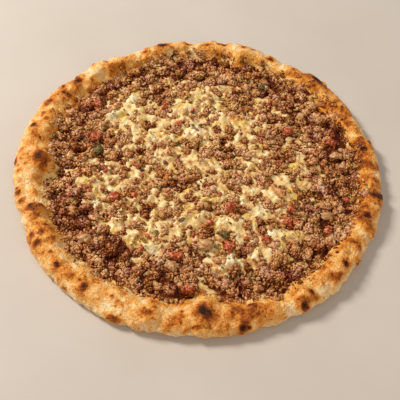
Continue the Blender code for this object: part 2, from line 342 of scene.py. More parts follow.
rows = []
for part in (0.5, 0.8, 0.9, 0.94, 0.965, 0.985):
    rows.append((foot * part, np.full(AROUND, BASE_THICKNESS)))
for share in 1 - (1 - np.linspace(0, 1, 46)) ** 1.4:
    rows.append((foot + share * (edge - foot), rim_height(share, crest)))
for swing in np.linspace(0, math.pi / 2, 12)[1:]:
    rows.append((edge - TUCK * (1 - math.cos(swing)), np.full(AROUND, WIDEST_HEIGHT * (1 - math.sin(swing)))))
for part in (0.985, 0.95, 0.9, 0.84, 0.76, 0.67, 0.57, 0.46, 0.34, 0.22, 0.1):
    rows.append(((edge - TUCK) * part, np.zeros(AROUND)))
crust_radius = np.array([radius for radius, height in rows])
crust_height = np.array([height for radius, height in rows])
crust = np.stack([crust_radius * np.cos(angle), crust_radius * np.sin(angle), crust_height], axis=-1)
RIM_SHARE = (crust_radius - foot) / (edge - foot)
print("crust rows:", len(rows), "box middle in mm:", np.round(BOX_MIDDLE / MM, 2))

# %% [markdown]
# Steam lifts hundreds of small blisters in the dough's skin, and the heat browns them first.
# Each is a low dome, raised along the surface's own direction. A dome's edge is broken up by
# a cloud, because real blisters are never round. Between them the skin wrinkles and its grain
# shows.


# %% Raise blisters on the crust
def outward(grid):
    """Unit normals of a ringed grid: the cross product of its steps round and across."""
    around = np.roll(grid, -1, axis=1) - np.roll(grid, 1, axis=1)
    across = np.gradient(grid, axis=0)
    normal = np.cross(around, across)
    return normal / np.maximum(np.linalg.norm(normal, axis=-1, keepdims=True), 1e-12)


crust_normal = outward(crust)
if crust_normal[20, :, 2].mean() < 0:
    crust_normal = -crust_normal
random = np.random.default_rng(11)
on_rim = smooth(-0.12, 0.1, RIM_SHARE) * smooth(-0.5, 3.5, crust_height / MM)
crust_warp = np.stack([cloud(crust, 5 * MM, 3 + k) for k in range(3)], axis=-1) * 1.2 * MM
blister_relief = np.zeros(crust.shape[:2])
blister_bake = np.zeros(crust.shape[:2])
for _ in range(300):
    turn = random.uniform(0, TURN)
    share = random.uniform(0.02, 1.0) ** 0.9
    size = random.choice([1.6, 2.2, 3.0, 4.2], p=[0.35, 0.35, 0.2, 0.1]) * random.uniform(0.85, 1.25) * MM
    radius = foot_radius(turn) + share * (outline_radius(turn) - foot_radius(turn))
    center = np.array([radius * math.cos(turn), radius * math.sin(turn), rim_height(share, crest_height(turn))])
    near = np.clip(1 - (((crust + crust_warp - center) / size) ** 2).sum(-1), 0, 1)
    dome = near**1.3
    blister_relief = np.maximum(blister_relief, dome * size * random.uniform(0.16, 0.3))
    blister_bake = np.maximum(blister_bake, near**0.8 * random.choice([0, 0.1, 0.25, 0.42], p=[0.3, 0.3, 0.25, 0.15]))
lobe_distance, lobe_own = nearest_seed(
    crust[..., 0] + 2.0 * crust_warp[..., 0], crust[..., 1] + 2.0 * crust_warp[..., 1], 15 * MM, 27
)
lobe = np.clip(1 - (lobe_distance / 0.72) ** 2, 0, 1)
folds = cloud(crust, 5.5 * MM, 21)
crease = np.exp(-((folds / 0.13) ** 2)) * smooth(-0.2, 0.5, cloud(crust, 22 * MM, 22))
relief = 2.4 * MM * (lobe - 0.55) + 0.8 * MM * cloud(crust, 9 * MM, 23) + 0.4 * MM * cloud(crust, 4.0 * MM, 24)
relief += 0.34 * MM * cloud(crust, 2.0 * MM, 25) - 0.6 * MM * crease + blister_relief
pulled = np.stack(np.broadcast_arrays(np.cos(angle) * 50, np.sin(angle) * 50, RIM_SHARE * 3.2), axis=-1)
wrinkles = cloud(pulled, 1.0, 28) * smooth(-0.1, 0.5, cloud(crust, 20 * MM, 29))
relief += 0.7 * MM * wrinkles
print("blister heights up to", round(blister_relief.max() / MM, 2), "mm")

# %% [markdown]
# ## How far each place is baked
#
# One number says how far a place of the crust is baked: 0 is pale dough, about 0.4 is golden,
# 0.6 is orange-brown, 0.8 is dark brown and 1 is charred. The large marks of this bread are
# listed with their turn in degrees and their distance from the middle. Each fades out
# like a hill, so a charred mark gets an orange-brown ring by itself.

# %% Mark the charred and browned places
Mark = namedtuple("Mark", "turn radius long wide bake")
MARKS = (
    # right side
    Mark(4, 145, 3, 3, 0.5),
    Mark(14, 146, 3, 2, 0.8),
    Mark(14, 140, 4, 3, 0.5),
    Mark(19, 141, 5, 3, 0.4),
    Mark(30, 146, 4, 2, 0.8),
    Mark(31, 140, 3, 2, 0.6),
    Mark(35, 132, 7, 5, 0.45),
    Mark(40, 140, 4, 2, 0.45),
    Mark(46, 143, 10, 2.5, 1.0),
    Mark(46, 135, 5, 4, 0.35),
    Mark(56, 140, 3, 3, 0.55),
    Mark(66, 141, 5, 2, 0.75),
    # far side
    Mark(73, 145, 3, 2, 0.8),
    Mark(77, 143, 3, 2, 0.8),
    Mark(84, 143, 5, 2.5, 1.0),
    Mark(76, 129, 7, 8, 0.5),
    Mark(76, 122, 5, 5, 0.4),
    Mark(85, 136, 8, 3, 0.4),
    Mark(90, 141, 4, 2, 0.7),
    Mark(97, 143, 4, 2, 0.75),
    Mark(107, 141, 6, 3, 1.05),
    Mark(114, 139, 4, 3, 0.7),
    Mark(122, 138, 4, 3, 0.5),
    Mark(125, 132, 5, 4, 0.55),
    Mark(130, 141, 3, 2, 0.6),
    Mark(130, 133, 9, 6, 0.5),
    Mark(143, 140, 5, 4, 1.0),
    # left side
    Mark(149, 144, 3, 2, 0.8),
    Mark(151, 139, 3, 3, 0.75),
    Mark(151, 134, 4, 3, 0.7),
    Mark(157, 143, 4, 3, 0.75),
    Mark(163, 141, 4, 3, 0.65),
    Mark(165, 136, 4, 4, 0.6),
    Mark(160, 136, 1, 1, 1.0),
    Mark(169, 143, 4, 3, 0.85),
    Mark(173, 137, 7, 4, 0.5),
    Mark(179, 146, 4, 3, 0.6),
    Mark(184, 148, 4, 2, 0.8),
    Mark(183, 130, 9, 5, 0.85),
    Mark(186, 131, 4, 3, 0.5),
    Mark(196, 145, 4, 3, 0.7),
    Mark(200, 144, 3, 3, 0.65),
    Mark(203, 138, 5, 4, 0.7),
    Mark(204, 131, 4, 4, 0.6),
    Mark(213, 144, 5, 3, 0.75),
    Mark(214, 138, 4, 4, 0.65),
    Mark(217, 144, 4, 4, 0.85),
    Mark(218, 137, 4, 3, 0.6),
    Mark(227, 143, 4, 3, 0.8),
    # near side
    Mark(233, 150, 4, 1.5, 0.6),
    Mark(238, 142, 4, 3.5, 0.8),
    Mark(238, 137, 5, 3, 0.45),
    Mark(239, 147, 4, 2, 0.45),
    Mark(250, 150, 9, 1.5, 0.8),
    Mark(249, 140, 4, 2.5, 0.5),
    Mark(249, 132, 4, 2.5, 0.4),
    Mark(258.5, 141, 7, 3, 0.65),
    Mark(274.5, 136, 4.2, 3.6, 1.0),
    Mark(272.5, 146, 5, 2.5, 0.6),
    Mark(285.5, 147, 3.6, 2.4, 0.9),
    Mark(284, 134, 1.5, 1.5, 0.6),
    Mark(268, 134, 1.5, 1.5, 0.7),
    Mark(291, 140.5, 8, 3, 0.45),
    Mark(298, 150, 3, 1.5, 0.7),
    Mark(304.5, 147, 3.5, 3, 1.1),
    Mark(308, 142, 3, 2.5, 0.8),
    Mark(309, 147, 3, 2, 0.7),
    Mark(313, 142, 2, 2, 0.6),
    Mark(317, 142, 3, 3, 0.55),
    Mark(323, 143, 3.5, 3, 0.95),
    Mark(327, 149, 3, 1.5, 0.6),
    Mark(332, 140, 3, 3, 0.5),
    Mark(343, 140, 4, 4, 0.9),
    Mark(343, 134, 2, 2, 0.6),
    Mark(347, 136, 3, 2, 0.5),
    Mark(352, 145, 4, 3, 0.85),
    Mark(353, 131, 3, 3, 0.5),
    Mark(356, 141, 4, 3, 0.6),
)
warped = crust + crust_warp * 0.9
warped_turn = np.arctan2(warped[..., 1], warped[..., 0])
warped_radius = np.hypot(warped[..., 0], warped[..., 1])
marked = np.zeros(crust.shape[:2])
halo = np.zeros(crust.shape[:2])
mark_relief = np.zeros(crust.shape[:2])
for mark in MARKS:
    apart = (warped_turn - math.radians(mark.turn) + math.pi) % TURN - math.pi
    along = apart * mark.radius / (mark.long * 0.7)
    across = (warped_radius / MM - mark.radius) / (mark.wide * 0.85)
    far = along**2 + across**2
    marked = np.maximum(marked, mark.bake * 0.64 * np.exp(-0.8 * far))
    halo = np.maximum(halo, 0.32 * mark.bake * np.exp(-0.2 * far))
    mark_relief = np.maximum(mark_relief, 0.24 * mark.wide * mark.bake * np.exp(-0.28 * far))
marked *= smooth(2.5, 5.5, crust_height / MM) * (1 + 0.2 * cloud(crust, 2.4 * MM, 49))
relief = relief + MM * mark_relief

# %% Lift the crust's skin
below = smooth(1.2, 0.2, crust_height / MM)
relief = relief * on_rim + 0.1 * MM * cloud(crust, 6 * MM, 26) * (1 - below)
crust_fine = crust + crust_normal * relief[..., None]
crust_fine[..., 2] = np.maximum(crust_fine[..., 2], 0.0)
print("crust relief in mm:", round(relief.min() / MM, 2), "to", round(relief.max() / MM, 2))

# %% Work out the baked number
height_mm = crust_fine[..., 2] / MM
bake = 0.155 + 0.12 * smooth(7, 14, height_mm) + 0.38 * cloud(crust, 10 * MM, 41) + 0.07 * cloud(crust, 3.2 * MM, 42)
# Side by side, these terms darken the rim on the right, lighten it on the far side, and shift a few more sides one by
# one.
bake += 0.02 * smooth(0.2, -0.9, np.cos(angle)) * smooth(0, 0.5, RIM_SHARE)
bake += 0.1 * smooth(0.75, 1.0, np.cos(angle + math.radians(3))) - 0.14 * smooth(0.4, 1.0, np.sin(angle))
for turn, change in ((48, 0.05), (155, -0.05), (195, -0.05), (242, -0.05), (280, 0.08), (320, -0.08), (350, 0.04)):
    bake += change * smooth(0.85, 1.0, np.cos(angle - math.radians(turn)))
bake += 0.08 * wrinkles + 0.06 * cloud(crust, 1.6 * MM, 47) + 0.14 * (lobe - 0.5) + 0.05 * lobe_own
bake -= 0.2 * smooth(6.5, 3.0, height_mm) * smooth(0.5, 0.9, RIM_SHARE)
bake += 0.8 * blister_bake * on_rim - 0.08 * crease * on_rim
oiled = smooth(9 * MM, -2 * MM, crust_radius - lip_radius(np.broadcast_to(angle, crust.shape[:2])) + crust_warp[..., 0] * 3)
bake += 0.15 * oiled * (0.6 + 0.8 * cloud(crust, 5 * MM, 48))
bake = np.maximum(bake, bake * 0.45 + marked) + halo * smooth(2.5, 5.5, crust_height / MM)
bake = np.where(RIM_SHARE < -0.02, 0.3, bake)
spots = smooth(0.25, 0.6, cloud(crust, 9 * MM, 43)) * (0.3 + 0.2 * cloud(crust, 3 * MM, 44))
bake = bake * (1 - below) + below * (0.36 + 0.14 * cloud(crust, 25 * MM, 45) + spots)
bake = np.clip(bake, 0, 1.1)
flour = below * smooth(0.1, 0.5, cloud(crust, 6 * MM, 46))


# %% Read the crust's height anywhere
def crust_top(x, y):
    """Height of the finished crust at a place on the table, from its nearest grid point."""
    turn = np.arctan2(y, x) % TURN
    column = np.round(turn / TURN * AROUND).astype(int) % AROUND
    inner = foot_radius(turn)
    share = (np.hypot(x, y) - inner) / (outline_radius(turn) - inner)
    top_rows = np.flatnonzero(np.diff(RIM_SHARE[:, 0]) > 0)
    row = top_rows[np.clip(np.searchsorted(RIM_SHARE[top_rows, 0], share), 0, len(top_rows) - 1)]
    return crust_fine[row, column, 2]


# %% Make the crust
def close_rings(grid, extra=()):
    """Adds the two end points of a ringed grid, each the average of the ring beside it."""
    flat = grid.reshape(-1, *grid.shape[2:])
    return np.concatenate([flat, grid[:1].mean(axis=1), grid[-1:].mean(axis=1)])


crust_piece = make_piece(
    "crust",
    close_rings(crust_fine - (*BOX_MIDDLE, 0)),
    ring_faces(len(rows), AROUND),
    {"bake": close_rings(bake), "flour": close_rings(flour), "oiled": close_rings(oiled)},
)
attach(crust_piece, "root")
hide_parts("bread")

# %% [markdown]
# ## Baked dough, the material
#
# Wheat dough that was baked hot: its starch skin dries to a satin, and sugar and protein in it
# turn from cream through gold to brown and at last to carbon. The colour comes from the baked
# number through a ramp of seven steps. Fine grain breaks the ramp up at about 1 mm, and char
# is duller than the golden skin.

# %% Baked dough material
dough, tree, shader = start_material("baked_wheat_dough")
place = add(tree, "TexCoord").outputs["Object"]
baked = add(tree, "Attribute", attribute_name="bake").outputs["Fac"]
flour_value = add(tree, "Attribute", attribute_name="flour").outputs["Fac"]
grain = add(tree, "TexNoise", {"Vector": place, "Scale": 620.0, "Detail": 4.0, "Roughness": 0.66}).outputs["Fac"]
blotch = add(tree, "TexNoise", {"Vector": place, "Scale": 150.0, "Detail": 3.0}).outputs["Fac"]
grain_shift = add(tree, "MapRange", {"Value": grain, "From Min": 0.3, "From Max": 0.7, "To Min": -0.1, "To Max": 0.1})
blotch_shift = add(tree, "MapRange", {"Value": blotch, "From Min": 0.3, "From Max": 0.7, "To Min": -0.07, "To Max": 0.07})
total = add(tree, "Math", {0: baked, 1: grain_shift.outputs["Result"]}, operation="ADD").outputs[0]
total = add(tree, "Math", {0: total, 1: blotch_shift.outputs["Result"]}, operation="ADD").outputs[0]
speckle = add(tree, "TexNoise", {"Vector": place, "Scale": 340.0, "Detail": 1.0}).outputs["Fac"]
specks = add(tree, "MapRange", {"Value": speckle, "From Min": 0.62, "From Max": 0.72, "To Min": 0.0, "To Max": 0.2})
total = add(tree, "Math", {0: total, 1: specks.outputs["Result"]}, operation="ADD").outputs[0]
crinkle = add(tree, "TexNoise", {"Vector": place, "Scale": 230.0, "Detail": 3.0, "Roughness": 0.55, "Distortion": 0.6})
off_middle = add(tree, "Math", {0: crinkle.outputs["Fac"], 1: 0.5}, operation="SUBTRACT").outputs[0]
beside = add(tree, "Math", {0: off_middle}, operation="ABSOLUTE").outputs[0]
# The thin crinkle lines are grooves in the bump below; this adds bake along them, as painted shade in the grooves.
groove_shade = add(tree, "MapRange", {"Value": beside, "From Min": 0.0, "From Max": 0.07, "To Min": 0.05, "To Max": -0.01})
total = add(tree, "Math", {0: total, 1: groove_shade.outputs["Result"]}, operation="ADD").outputs[0]
ramp = add(tree, "ValToRGB", {"Fac": total})


def fill_ramp(node, steps):
    """Sets a colour ramp's stops from (position, hex colour) pairs."""
    stops = node.color_ramp.elements
    while len(stops) < len(steps):
        stops.new(1.0)
    for stop, (position, colour) in zip(stops, steps):
        stop.position = position
        stop.color = linear(colour)


fill_ramp(ramp, (
    (0.0, "FBDEAE"),
    (0.16, "F8CA8A"),
    (0.32, "EDAC5E"),
    (0.46, "DE8E3A"),
    (0.6, "B2601E"),
    (0.76, "783814"),
    (0.9, "481C0A"),
    (1.0, "26120E"),
))
oil = add(tree, "Attribute", attribute_name="oiled").outputs["Fac"]
oily_ramp = add(tree, "ValToRGB", {"Fac": total})
fill_ramp(oily_ramp, ((0.0, "F6D088"), (0.25, "EEB050"), (0.45, "D88426"), (0.6, "B05A14"), (0.78, "743006"), (1.0, "3A1402")))
oil_share = add(tree, "Math", {0: oil, 1: 0.7}, operation="MULTIPLY").outputs[0]
oily = add(tree, "Mix", {0: oil_share, 6: ramp.outputs["Color"], 7: oily_ramp.outputs["Color"]}, data_type="RGBA")
floured = add(tree, "Mix", {0: flour_value, 6: oily.outputs[2], 7: linear("E9D9BC")}, data_type="RGBA")
tree.links.new(floured.outputs[2], shader.inputs["Base Color"])
rough = add(tree, "MapRange", {"Value": oil, "From Min": 0.0, "From Max": 1.0, "To Min": 0.58, "To Max": 0.52})
tree.links.new(rough.outputs["Result"], shader.inputs["Roughness"])
shader.inputs["IOR"].default_value = 1.33
shader.inputs["Specular Tint"].default_value = linear("FFE2B8")
raised = add(tree, "MapRange", {"Value": beside, "From Min": 0.0, "From Max": 0.1, "To Min": 0.0, "To Max": 0.6})
skin = add(tree, "Math", {0: grain, 1: raised.outputs["Result"]}, operation="ADD").outputs[0]
bump = add(tree, "Bump", {"Height": skin, "Strength": 0.75, "Distance": 0.0011})
tree.links.new(bump.outputs["Normal"], shader.inputs["Normal"])
crust_piece.data.materials.append(dough)

# %% [markdown]
# ## Heights of the meat layer
#
# Fried mince sticks together in clumps about 10 mm across, with shaded gaps between them. The
# clump field finds, for each place, the nearest of many jittered seeds, and raises a rounded
# dome over it. The meat and the cheese both lie on this one field, so they fit each other. Its
# low places also darken the crumbs and the packed meat, as painted shade in the gaps.


# %% Clump field
def clumps(x, y):
    """Clumps of mince, 0 in the gaps to 1 on a top: half an ellipse over each seed, at two sizes."""
    bend_x = 2.4 * MM * flat_cloud(x, y, 8 * MM, 51)
    bend_y = 2.4 * MM * flat_cloud(x, y, 8 * MM, 52)
    large, large_own = nearest_seed(x + bend_x, y + bend_y, 9.2 * MM, 53)
    small, small_own = nearest_seed(x + bend_y, y - bend_x, 4.6 * MM, 57)
    dome = np.sqrt(np.clip(1 - (large / (0.5 + 0.14 * large_own)) ** 2, 0, 1)) * (0.7 + 0.3 * large_own)
    lump = np.sqrt(np.clip(1 - (small / (0.6 + 0.1 * small_own)) ** 2, 0, 1)) * (0.75 + 0.25 * small_own)
    return np.clip(0.72 * dome + 0.28 * lump, 0, 1)


def meat_floor(x, y):
    """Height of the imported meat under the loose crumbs, and how far inside the edge it is."""
    turn = np.arctan2(y, x)
    inside = smooth(-1 * MM, 9 * MM, lip_radius(turn) - np.hypot(x, y))
    swell = 0.6 * flat_cloud(x, y, 34 * MM, 62)
    domes = clumps(x, y)
    grain = 0.35 * flat_cloud(x, y, 2.4 * MM, 63)
    slope = np.maximum(crust_top(x, y) / MM, 4.5)
    body = 5.0 + swell + 3.9 * domes + grain
    climbing = slope + 0.2 + 2.2 * domes + grain
    body = np.maximum(body, climbing)
    return MM * (inside * body + (1 - inside) * (slope - 1.8)), inside


# %% [markdown]
# ## Where the cheese is
#
# Shredded cheese was strewn over the middle, thicker in some places. The amount is a sum of
# soft hills: one broad hill for the middle and smaller listed areas, minus areas where the meat
# lies bare. Clouds break it into blobs.

# %% Cheese field
# x, y, reach in millimetres, then how much cheese
Patch = namedtuple("Patch", "x y reach amount")
CHEESE_AREAS = (
    Patch(-60, 58, 15, 0.6),
    Patch(-54, 36, 12, 0.4),
    Patch(-35, 32, 11, 0.6),
    Patch(-30, 10, 11, 0.5),
    Patch(0, 84, 15, 0.6),
    Patch(-12, 72, 11, 0.6),
    Patch(15, 60, 13, 0.4),
    Patch(-4, 36, 12, 0.6),
    Patch(-20, 56, 9, 0.5),
    Patch(30, 54, 10, 0.6),
    Patch(0, 6, 11, 0.5),
    Patch(43, 14, 13, 0.5),
    Patch(40, 32, 9, 0.3),
    Patch(92, 28, 9, 0.5),
    Patch(31, 106, 8, 0.4),
    Patch(-92, -20, 10, 0.7),
    Patch(-75, -30, 12, 0.4),
    Patch(-54, -38, 11, 0.5),
    Patch(-57, -8, 14, 0.25),
    Patch(-40, -68, 13, 0.7),
    Patch(-27, -80, 9, 0.6),
    Patch(-6, -55, 12, 0.7),
    Patch(9, -27, 9, 0.6),
    Patch(34, -53, 14, 0.6),
    Patch(55, -36, 12, 0.5),
    Patch(68, -18, 11, 0.6),
    Patch(66, -78, 16, 0.8),
    Patch(31, -86, 12, 0.8),
    Patch(14, -100, 7, 0.5),
    Patch(-78, 50, 10, 0.5),
    Patch(-64, 74, 9, 0.4),
    Patch(70, -60, 10, 0.4),
    Patch(45, 75, 8, 0.3),
    Patch(25, -5, 12, 0.2),
    Patch(75, 6, 9, 0.3),
    Patch(-80, -43, 7, 0.5),
)
BARE_AREAS = (
    Patch(24, 22, 10, 0.7),
    Patch(-14, -18, 14, 0.35),
    Patch(-38, 76, 9, 0.8),
    Patch(-48, 44, 6, 0.6),
    Patch(-42, 60, 6, 0.4),
    Patch(28, 74, 12, 0.6),
    Patch(-45, -46, 8, 0.5),
    Patch(8, -63, 9, 0.8),
    Patch(52, -50, 7, 0.8),
    Patch(55, -66, 7, 0.5),
    Patch(28, -38, 9, 0.6),
    Patch(38, -78, 7, 0.7),
    Patch(-62, -90, 16, 0.8),
    Patch(-95, -52, 16, 0.9),
    Patch(-20, -88, 9, 0.5),
    Patch(2, -84, 9, 0.6),
    Patch(-85, 14, 14, 0.8),
    Patch(85, -30, 9, 0.8),
    Patch(64, 12, 8, 0.6),
    Patch(58, 92, 12, 0.5),
    Patch(-48, 5, 7, 0.5),
    Patch(-10, 22, 8, 0.4),
    Patch(60, 40, 11, 0.4),
    Patch(85, 45, 14, 0.5),
    Patch(-22, -112, 14, 0.6),
    Patch(85, -95, 14, 0.6),
    Patch(-105, 50, 14, 0.5),
    Patch(-80, 88, 12, 0.4),
)


def film_height(x, y):
    """The level the cheese fills the meat to: its amount sets the share of a clump it covers."""
    swell = 0.6 * flat_cloud(x, y, 34 * MM, 62)
    amount = cheese_amount(x, y)
    level = 4.8 + swell + 4.2 * smooth(-0.25, 1.0, amount) + 1.3 * smooth(0.45, 0.85, amount) + 0.3 * clumps(x, y)
    level += 0.25 * flat_cloud(x, y, 3.6 * MM, 95) + 0.2 * flat_cloud(x, y, 1.9 * MM, 96)
    return MM * np.maximum(level, 4.9)


def hills(x, y, areas):
    """Sum of amount * exp(-(distance / reach)^2) over a list of areas."""
    total = np.zeros(np.shape(x))
    for area in areas:
        away = ((x - area.x * MM) ** 2 + (y - area.y * MM) ** 2) / (area.reach * MM) ** 2
        total += area.amount * np.exp(-away)
    return total


def cheese_amount(x, y):
    """Below 0 where the meat is bare, 0.3 where it is coated, above 0.7 where cheese pools."""
    radius = np.hypot(x, y)
    broad = 0.46 * smooth(118 * MM, 88 * MM, radius + 9 * MM * flat_cloud(x, y, 30 * MM, 71)) - 0.2
    broken = 0.44 * flat_cloud(x, y, 11 * MM, 72) + 0.34 * flat_cloud(x, y, 5 * MM, 73)
    return broad + 0.52 * hills(x, y, CHEESE_AREAS) - 0.5 * hills(x, y, BARE_AREAS) + broken


# %% [markdown]
# ## Packed meat
#
# Below the loose crumbs the mince is packed together. It is one closed disc: a square grid is
# mapped to a disc so that its cells stay nearly even, its top follows the clump field, and its
# border turns down to a flat underside that rests in the bread.


# %% Disc surface
def disc_grid(count):
    """A square grid bent to a unit disc: the larger coordinate gives the radius, their ratio the turn."""
    line = np.linspace(-1, 1, count)
    a, b = np.meshgrid(line, line, indexing="ij")
    wide = np.abs(a) > np.abs(b)
    radius = np.where(wide, a, b)
    ratio = np.divide(np.where(wide, b, a), radius, out=np.zeros_like(radius), where=radius != 0)
    turn = np.where(wide, math.pi / 4 * ratio, math.pi / 2 - math.pi / 4 * ratio)
    return radius * np.cos(turn), radius * np.sin(turn)


def disc_faces(count):
    """Faces of the square grid, then a rim of the same order as the border, then a fan."""
    row, column = np.meshgrid(np.arange(count - 1), np.arange(count - 1), indexing="ij")
    here = row * count + column
    quads = np.stack([here, here + count, here + count + 1, here + 1], axis=-1).reshape(-1, 4)
    side = np.arange(count - 1)
    last = count - 1
    border = np.concatenate([side * count, last * count + side, (last - side) * count + last, last - side])
    around = len(border)
    under = count * count + np.arange(around)
    turned = np.roll(np.arange(around), -1)
    walls = np.stack([border[turned], border, under, under[turned]], axis=1)
    fan = np.stack([np.full(around, count * count + around), under[turned], under], axis=1)
    return border, [quads, walls, fan]


def make_disc(name, count, radius_of, height_of, bottom, numbers_of):
    """Closes a relief disc: the grid scaled to radius_of(turn), lifted to height_of, and a flat bottom."""
    unit_x, unit_y = disc_grid(count)
    turn = np.arctan2(unit_y, unit_x)
    x = (unit_x * radius_of(turn)).ravel()
    y = (unit_y * radius_of(turn)).ravel()
    border, faces = disc_faces(count)
    top = np.stack([x, y, height_of(x, y)], axis=1)
    under = top[border] * (0.985, 0.985, 0) + (0, 0, bottom)
    points = np.concatenate([top, under, [[0, 0, bottom]]])
    numbers = {}
    for key, values in numbers_of(x, y).items():
        numbers[key] = np.concatenate([values, values[border], [0.0]])
    points[:, :2] -= BOX_MIDDLE
    return make_piece(name, points, faces, numbers)


def packed_numbers(x, y):
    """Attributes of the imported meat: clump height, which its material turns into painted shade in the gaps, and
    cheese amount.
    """
    return {"clump": clumps(x, y) + 0.3 * flat_cloud(x, y, 16 * MM, 86), "cheese": cheese_amount(x, y)}


packed = make_disc(
    "packed_meat",
    272,
    lambda turn: lip_radius(turn) + 1.0 * MM,
    lambda x, y: meat_floor(x, y)[0],
    BASE_THICKNESS + 0.2 * MM,
    packed_numbers,
)
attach(packed, "root")
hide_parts("minced_meat")

# %% [markdown]
# ## Crumbs of mince
#
# On top lie thousands of loose crumbs, 2 to 5 mm across. Each is a small ball of a few dozen
# faces whose points are pushed in and out by a cloud, stretched, turned at random and set down
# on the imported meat. All crumbs of one size are made in one go, as one array.


# %% Crumb maker
def ball(rows, around):
    """Unit directions on rings from pole to pole, then the two poles."""
    height = np.cos(np.linspace(0, math.pi, rows + 2)[1:-1])
    turn = np.arange(around) * TURN / around
    ring = np.sqrt(1 - height**2)
    grid = np.stack([
        ring[:, None] * np.cos(turn),
        ring[:, None] * np.sin(turn),
        np.repeat(height[:, None], around, axis=1),
    ], axis=-1)
    return np.concatenate([grid.reshape(-1, 3), [[0, 0, 1]], [[0, 0, -1]]])


def random_turns(count, random):
    """Rotation matrices from random unit quaternions."""
    w, x, y, z = (random.normal(size=(count, 4)) @ np.eye(4)).T
    length = np.sqrt(w * w + x * x + y * y + z * z)
    w, x, y, z = w / length, x / length, y / length, z / length
    return np.stack([
        np.stack([1 - 2 * (y * y + z * z), 2 * (x * y - z * w), 2 * (x * z + y * w)], axis=-1),
        np.stack([2 * (x * y + z * w), 1 - 2 * (x * x + z * z), 2 * (y * z - x * w)], axis=-1),
        np.stack([2 * (x * z - y * w), 2 * (y * z + x * w), 1 - 2 * (x * x + y * y)], axis=-1),
    ], axis=1)


def crumb_points(spots, sizes, rows, around, rough, flat, random):
    """Points of many crumbs: direction * size * (1 + rough * cloud), stretched, turned, moved."""
    unit = ball(rows, around)
    count = len(spots)
    own = random.uniform(-50, 50, (count, 1, 3))
    bumps = cloud(unit[None] + own, 0.7, 81, 2)
    shape = unit[None] * np.maximum(1 + rough * bumps[..., None], 0.3)
    shape = shape * random.uniform(0.5, 1.5, (count, 1, 3))
    shape = np.einsum("nij,npj->npi", random_turns(count, random), shape)
    shape = shape * (1, 1, flat) * sizes[:, None, None]
    return shape + spots[:, None, :]


def crumb_faces(count, rows, around):
    """The faces of one crumb, repeated with the point numbers of each."""
    step = rows * around + 2
    made = []
    for face in ring_faces(rows, around):
        made.append((face[None] + np.arange(count)[:, None, None] * step).reshape(-1, face.shape[1]))
    return made


def jittered_spots(spacing, random):
    """One spot in each cell of a slanted grid, moved at random inside its cell, within the meat."""
    reach = int(145 * MM / spacing)
    tall = int(reach / 0.87)
    row, column = np.meshgrid(np.arange(-tall, tall + 1), np.arange(-reach, reach + 1), indexing="ij")
    x = (column + 0.5 * (row % 2)).ravel() * spacing
    y = row.ravel() * spacing * 0.87
    x = x + random.uniform(-0.42, 0.42, len(x)) * spacing
    y = y + random.uniform(-0.42, 0.42, len(y)) * spacing
    return x, y


def tint_cloud(x, y):
    """How much lighter or darker the mince is at a place, from clouds at two sizes."""
    return 0.34 * flat_cloud(x, y, 16 * MM, 86) + 0.3 * flat_cloud(x, y, 7 * MM, 87)


def sprinkle(name, spacing, low, high, rows, around, seed, lift, spill):
    """Lays crumbs over the meat: low to high is their radius, spill how far past the edge.

    Where the cheese film lies over the meat, the crumbs under it are left out.
    """
    random = np.random.default_rng(seed)
    x, y = jittered_spots(spacing, random)
    past = np.hypot(x, y) - lip_radius(np.arctan2(y, x))
    near_edge = smooth(spill, -2 * MM, past + random.uniform(0, spill, len(x)))
    ground = np.maximum(meat_floor(x, y)[0], crust_top(x, y))
    level = film_height(x, y)
    bare = smooth(-0.3, 0.8, (ground - level) / MM)
    keep = near_edge > random.uniform(0.02, 1, len(x))
    keep &= bare + 0.1 > random.uniform(0, 1, len(x))
    keep &= smooth(0.05, 0.45, clumps(x, y)) + 0.06 > random.uniform(0, 1, len(x))
    x, y, ground, level = x[keep], y[keep], np.maximum(ground, level)[keep], level[keep]
    amount = cheese_amount(x, y)
    sizes = random.uniform(low, high, len(x)) * (0.75 + 0.4 * clumps(x, y))
    spots = np.stack([x, y, ground + lift * sizes], axis=1)
    points = crumb_points(spots, sizes, rows, around, 1.3, 0.9, random)
    per = points.shape[1]
    height = (points[..., 2] - ground[:, None]) / sizes[:, None]
    sunk = (level[:, None] - points[..., 2]) / MM
    coat = 0.26 + 0.44 * amount[:, None] + 0.26 * sunk + 0.3 * cloud(points, 2.6 * MM, seed + 5)
    coat += 0.3 * flat_cloud(x, y, 7 * MM, 88)[:, None]
    own = random.uniform(0, 1, len(x))
    # Painted shade in the tint: crumbs in the gaps between clumps are darker, and each crumb is lighter at its top and
    # darker underneath. The own number, the clouds and the dark meat are the mince's real tone.
    tint = 0.08 + 0.24 * own[:, None] + 0.52 * clumps(x, y)[:, None] + 0.14 * (height - 0.5)
    tint = tint + tint_cloud(x, y)[:, None]
    tint = tint - 0.24 * hills(x, y, DARK_MEAT)[:, None]
    numbers = {
        "tint": np.clip(tint, 0, 1).ravel(),
        "cheese": coat.ravel(),
        "hue": np.repeat(0.9 * flat_cloud(x, y, 10 * MM, 85) + 0.4 * hills(x, y, DARK_MEAT) + random.normal(0, 0.08, len(x)), per),
        "oil": np.repeat(hills(x, y, OILY), per),
    }
    flat = points.reshape(-1, 3)
    flat[:, :2] -= BOX_MIDDLE
    piece = make_piece(name, flat, crumb_faces(len(x), rows, around), numbers, facets=True)
    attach(piece, "root")
    return piece


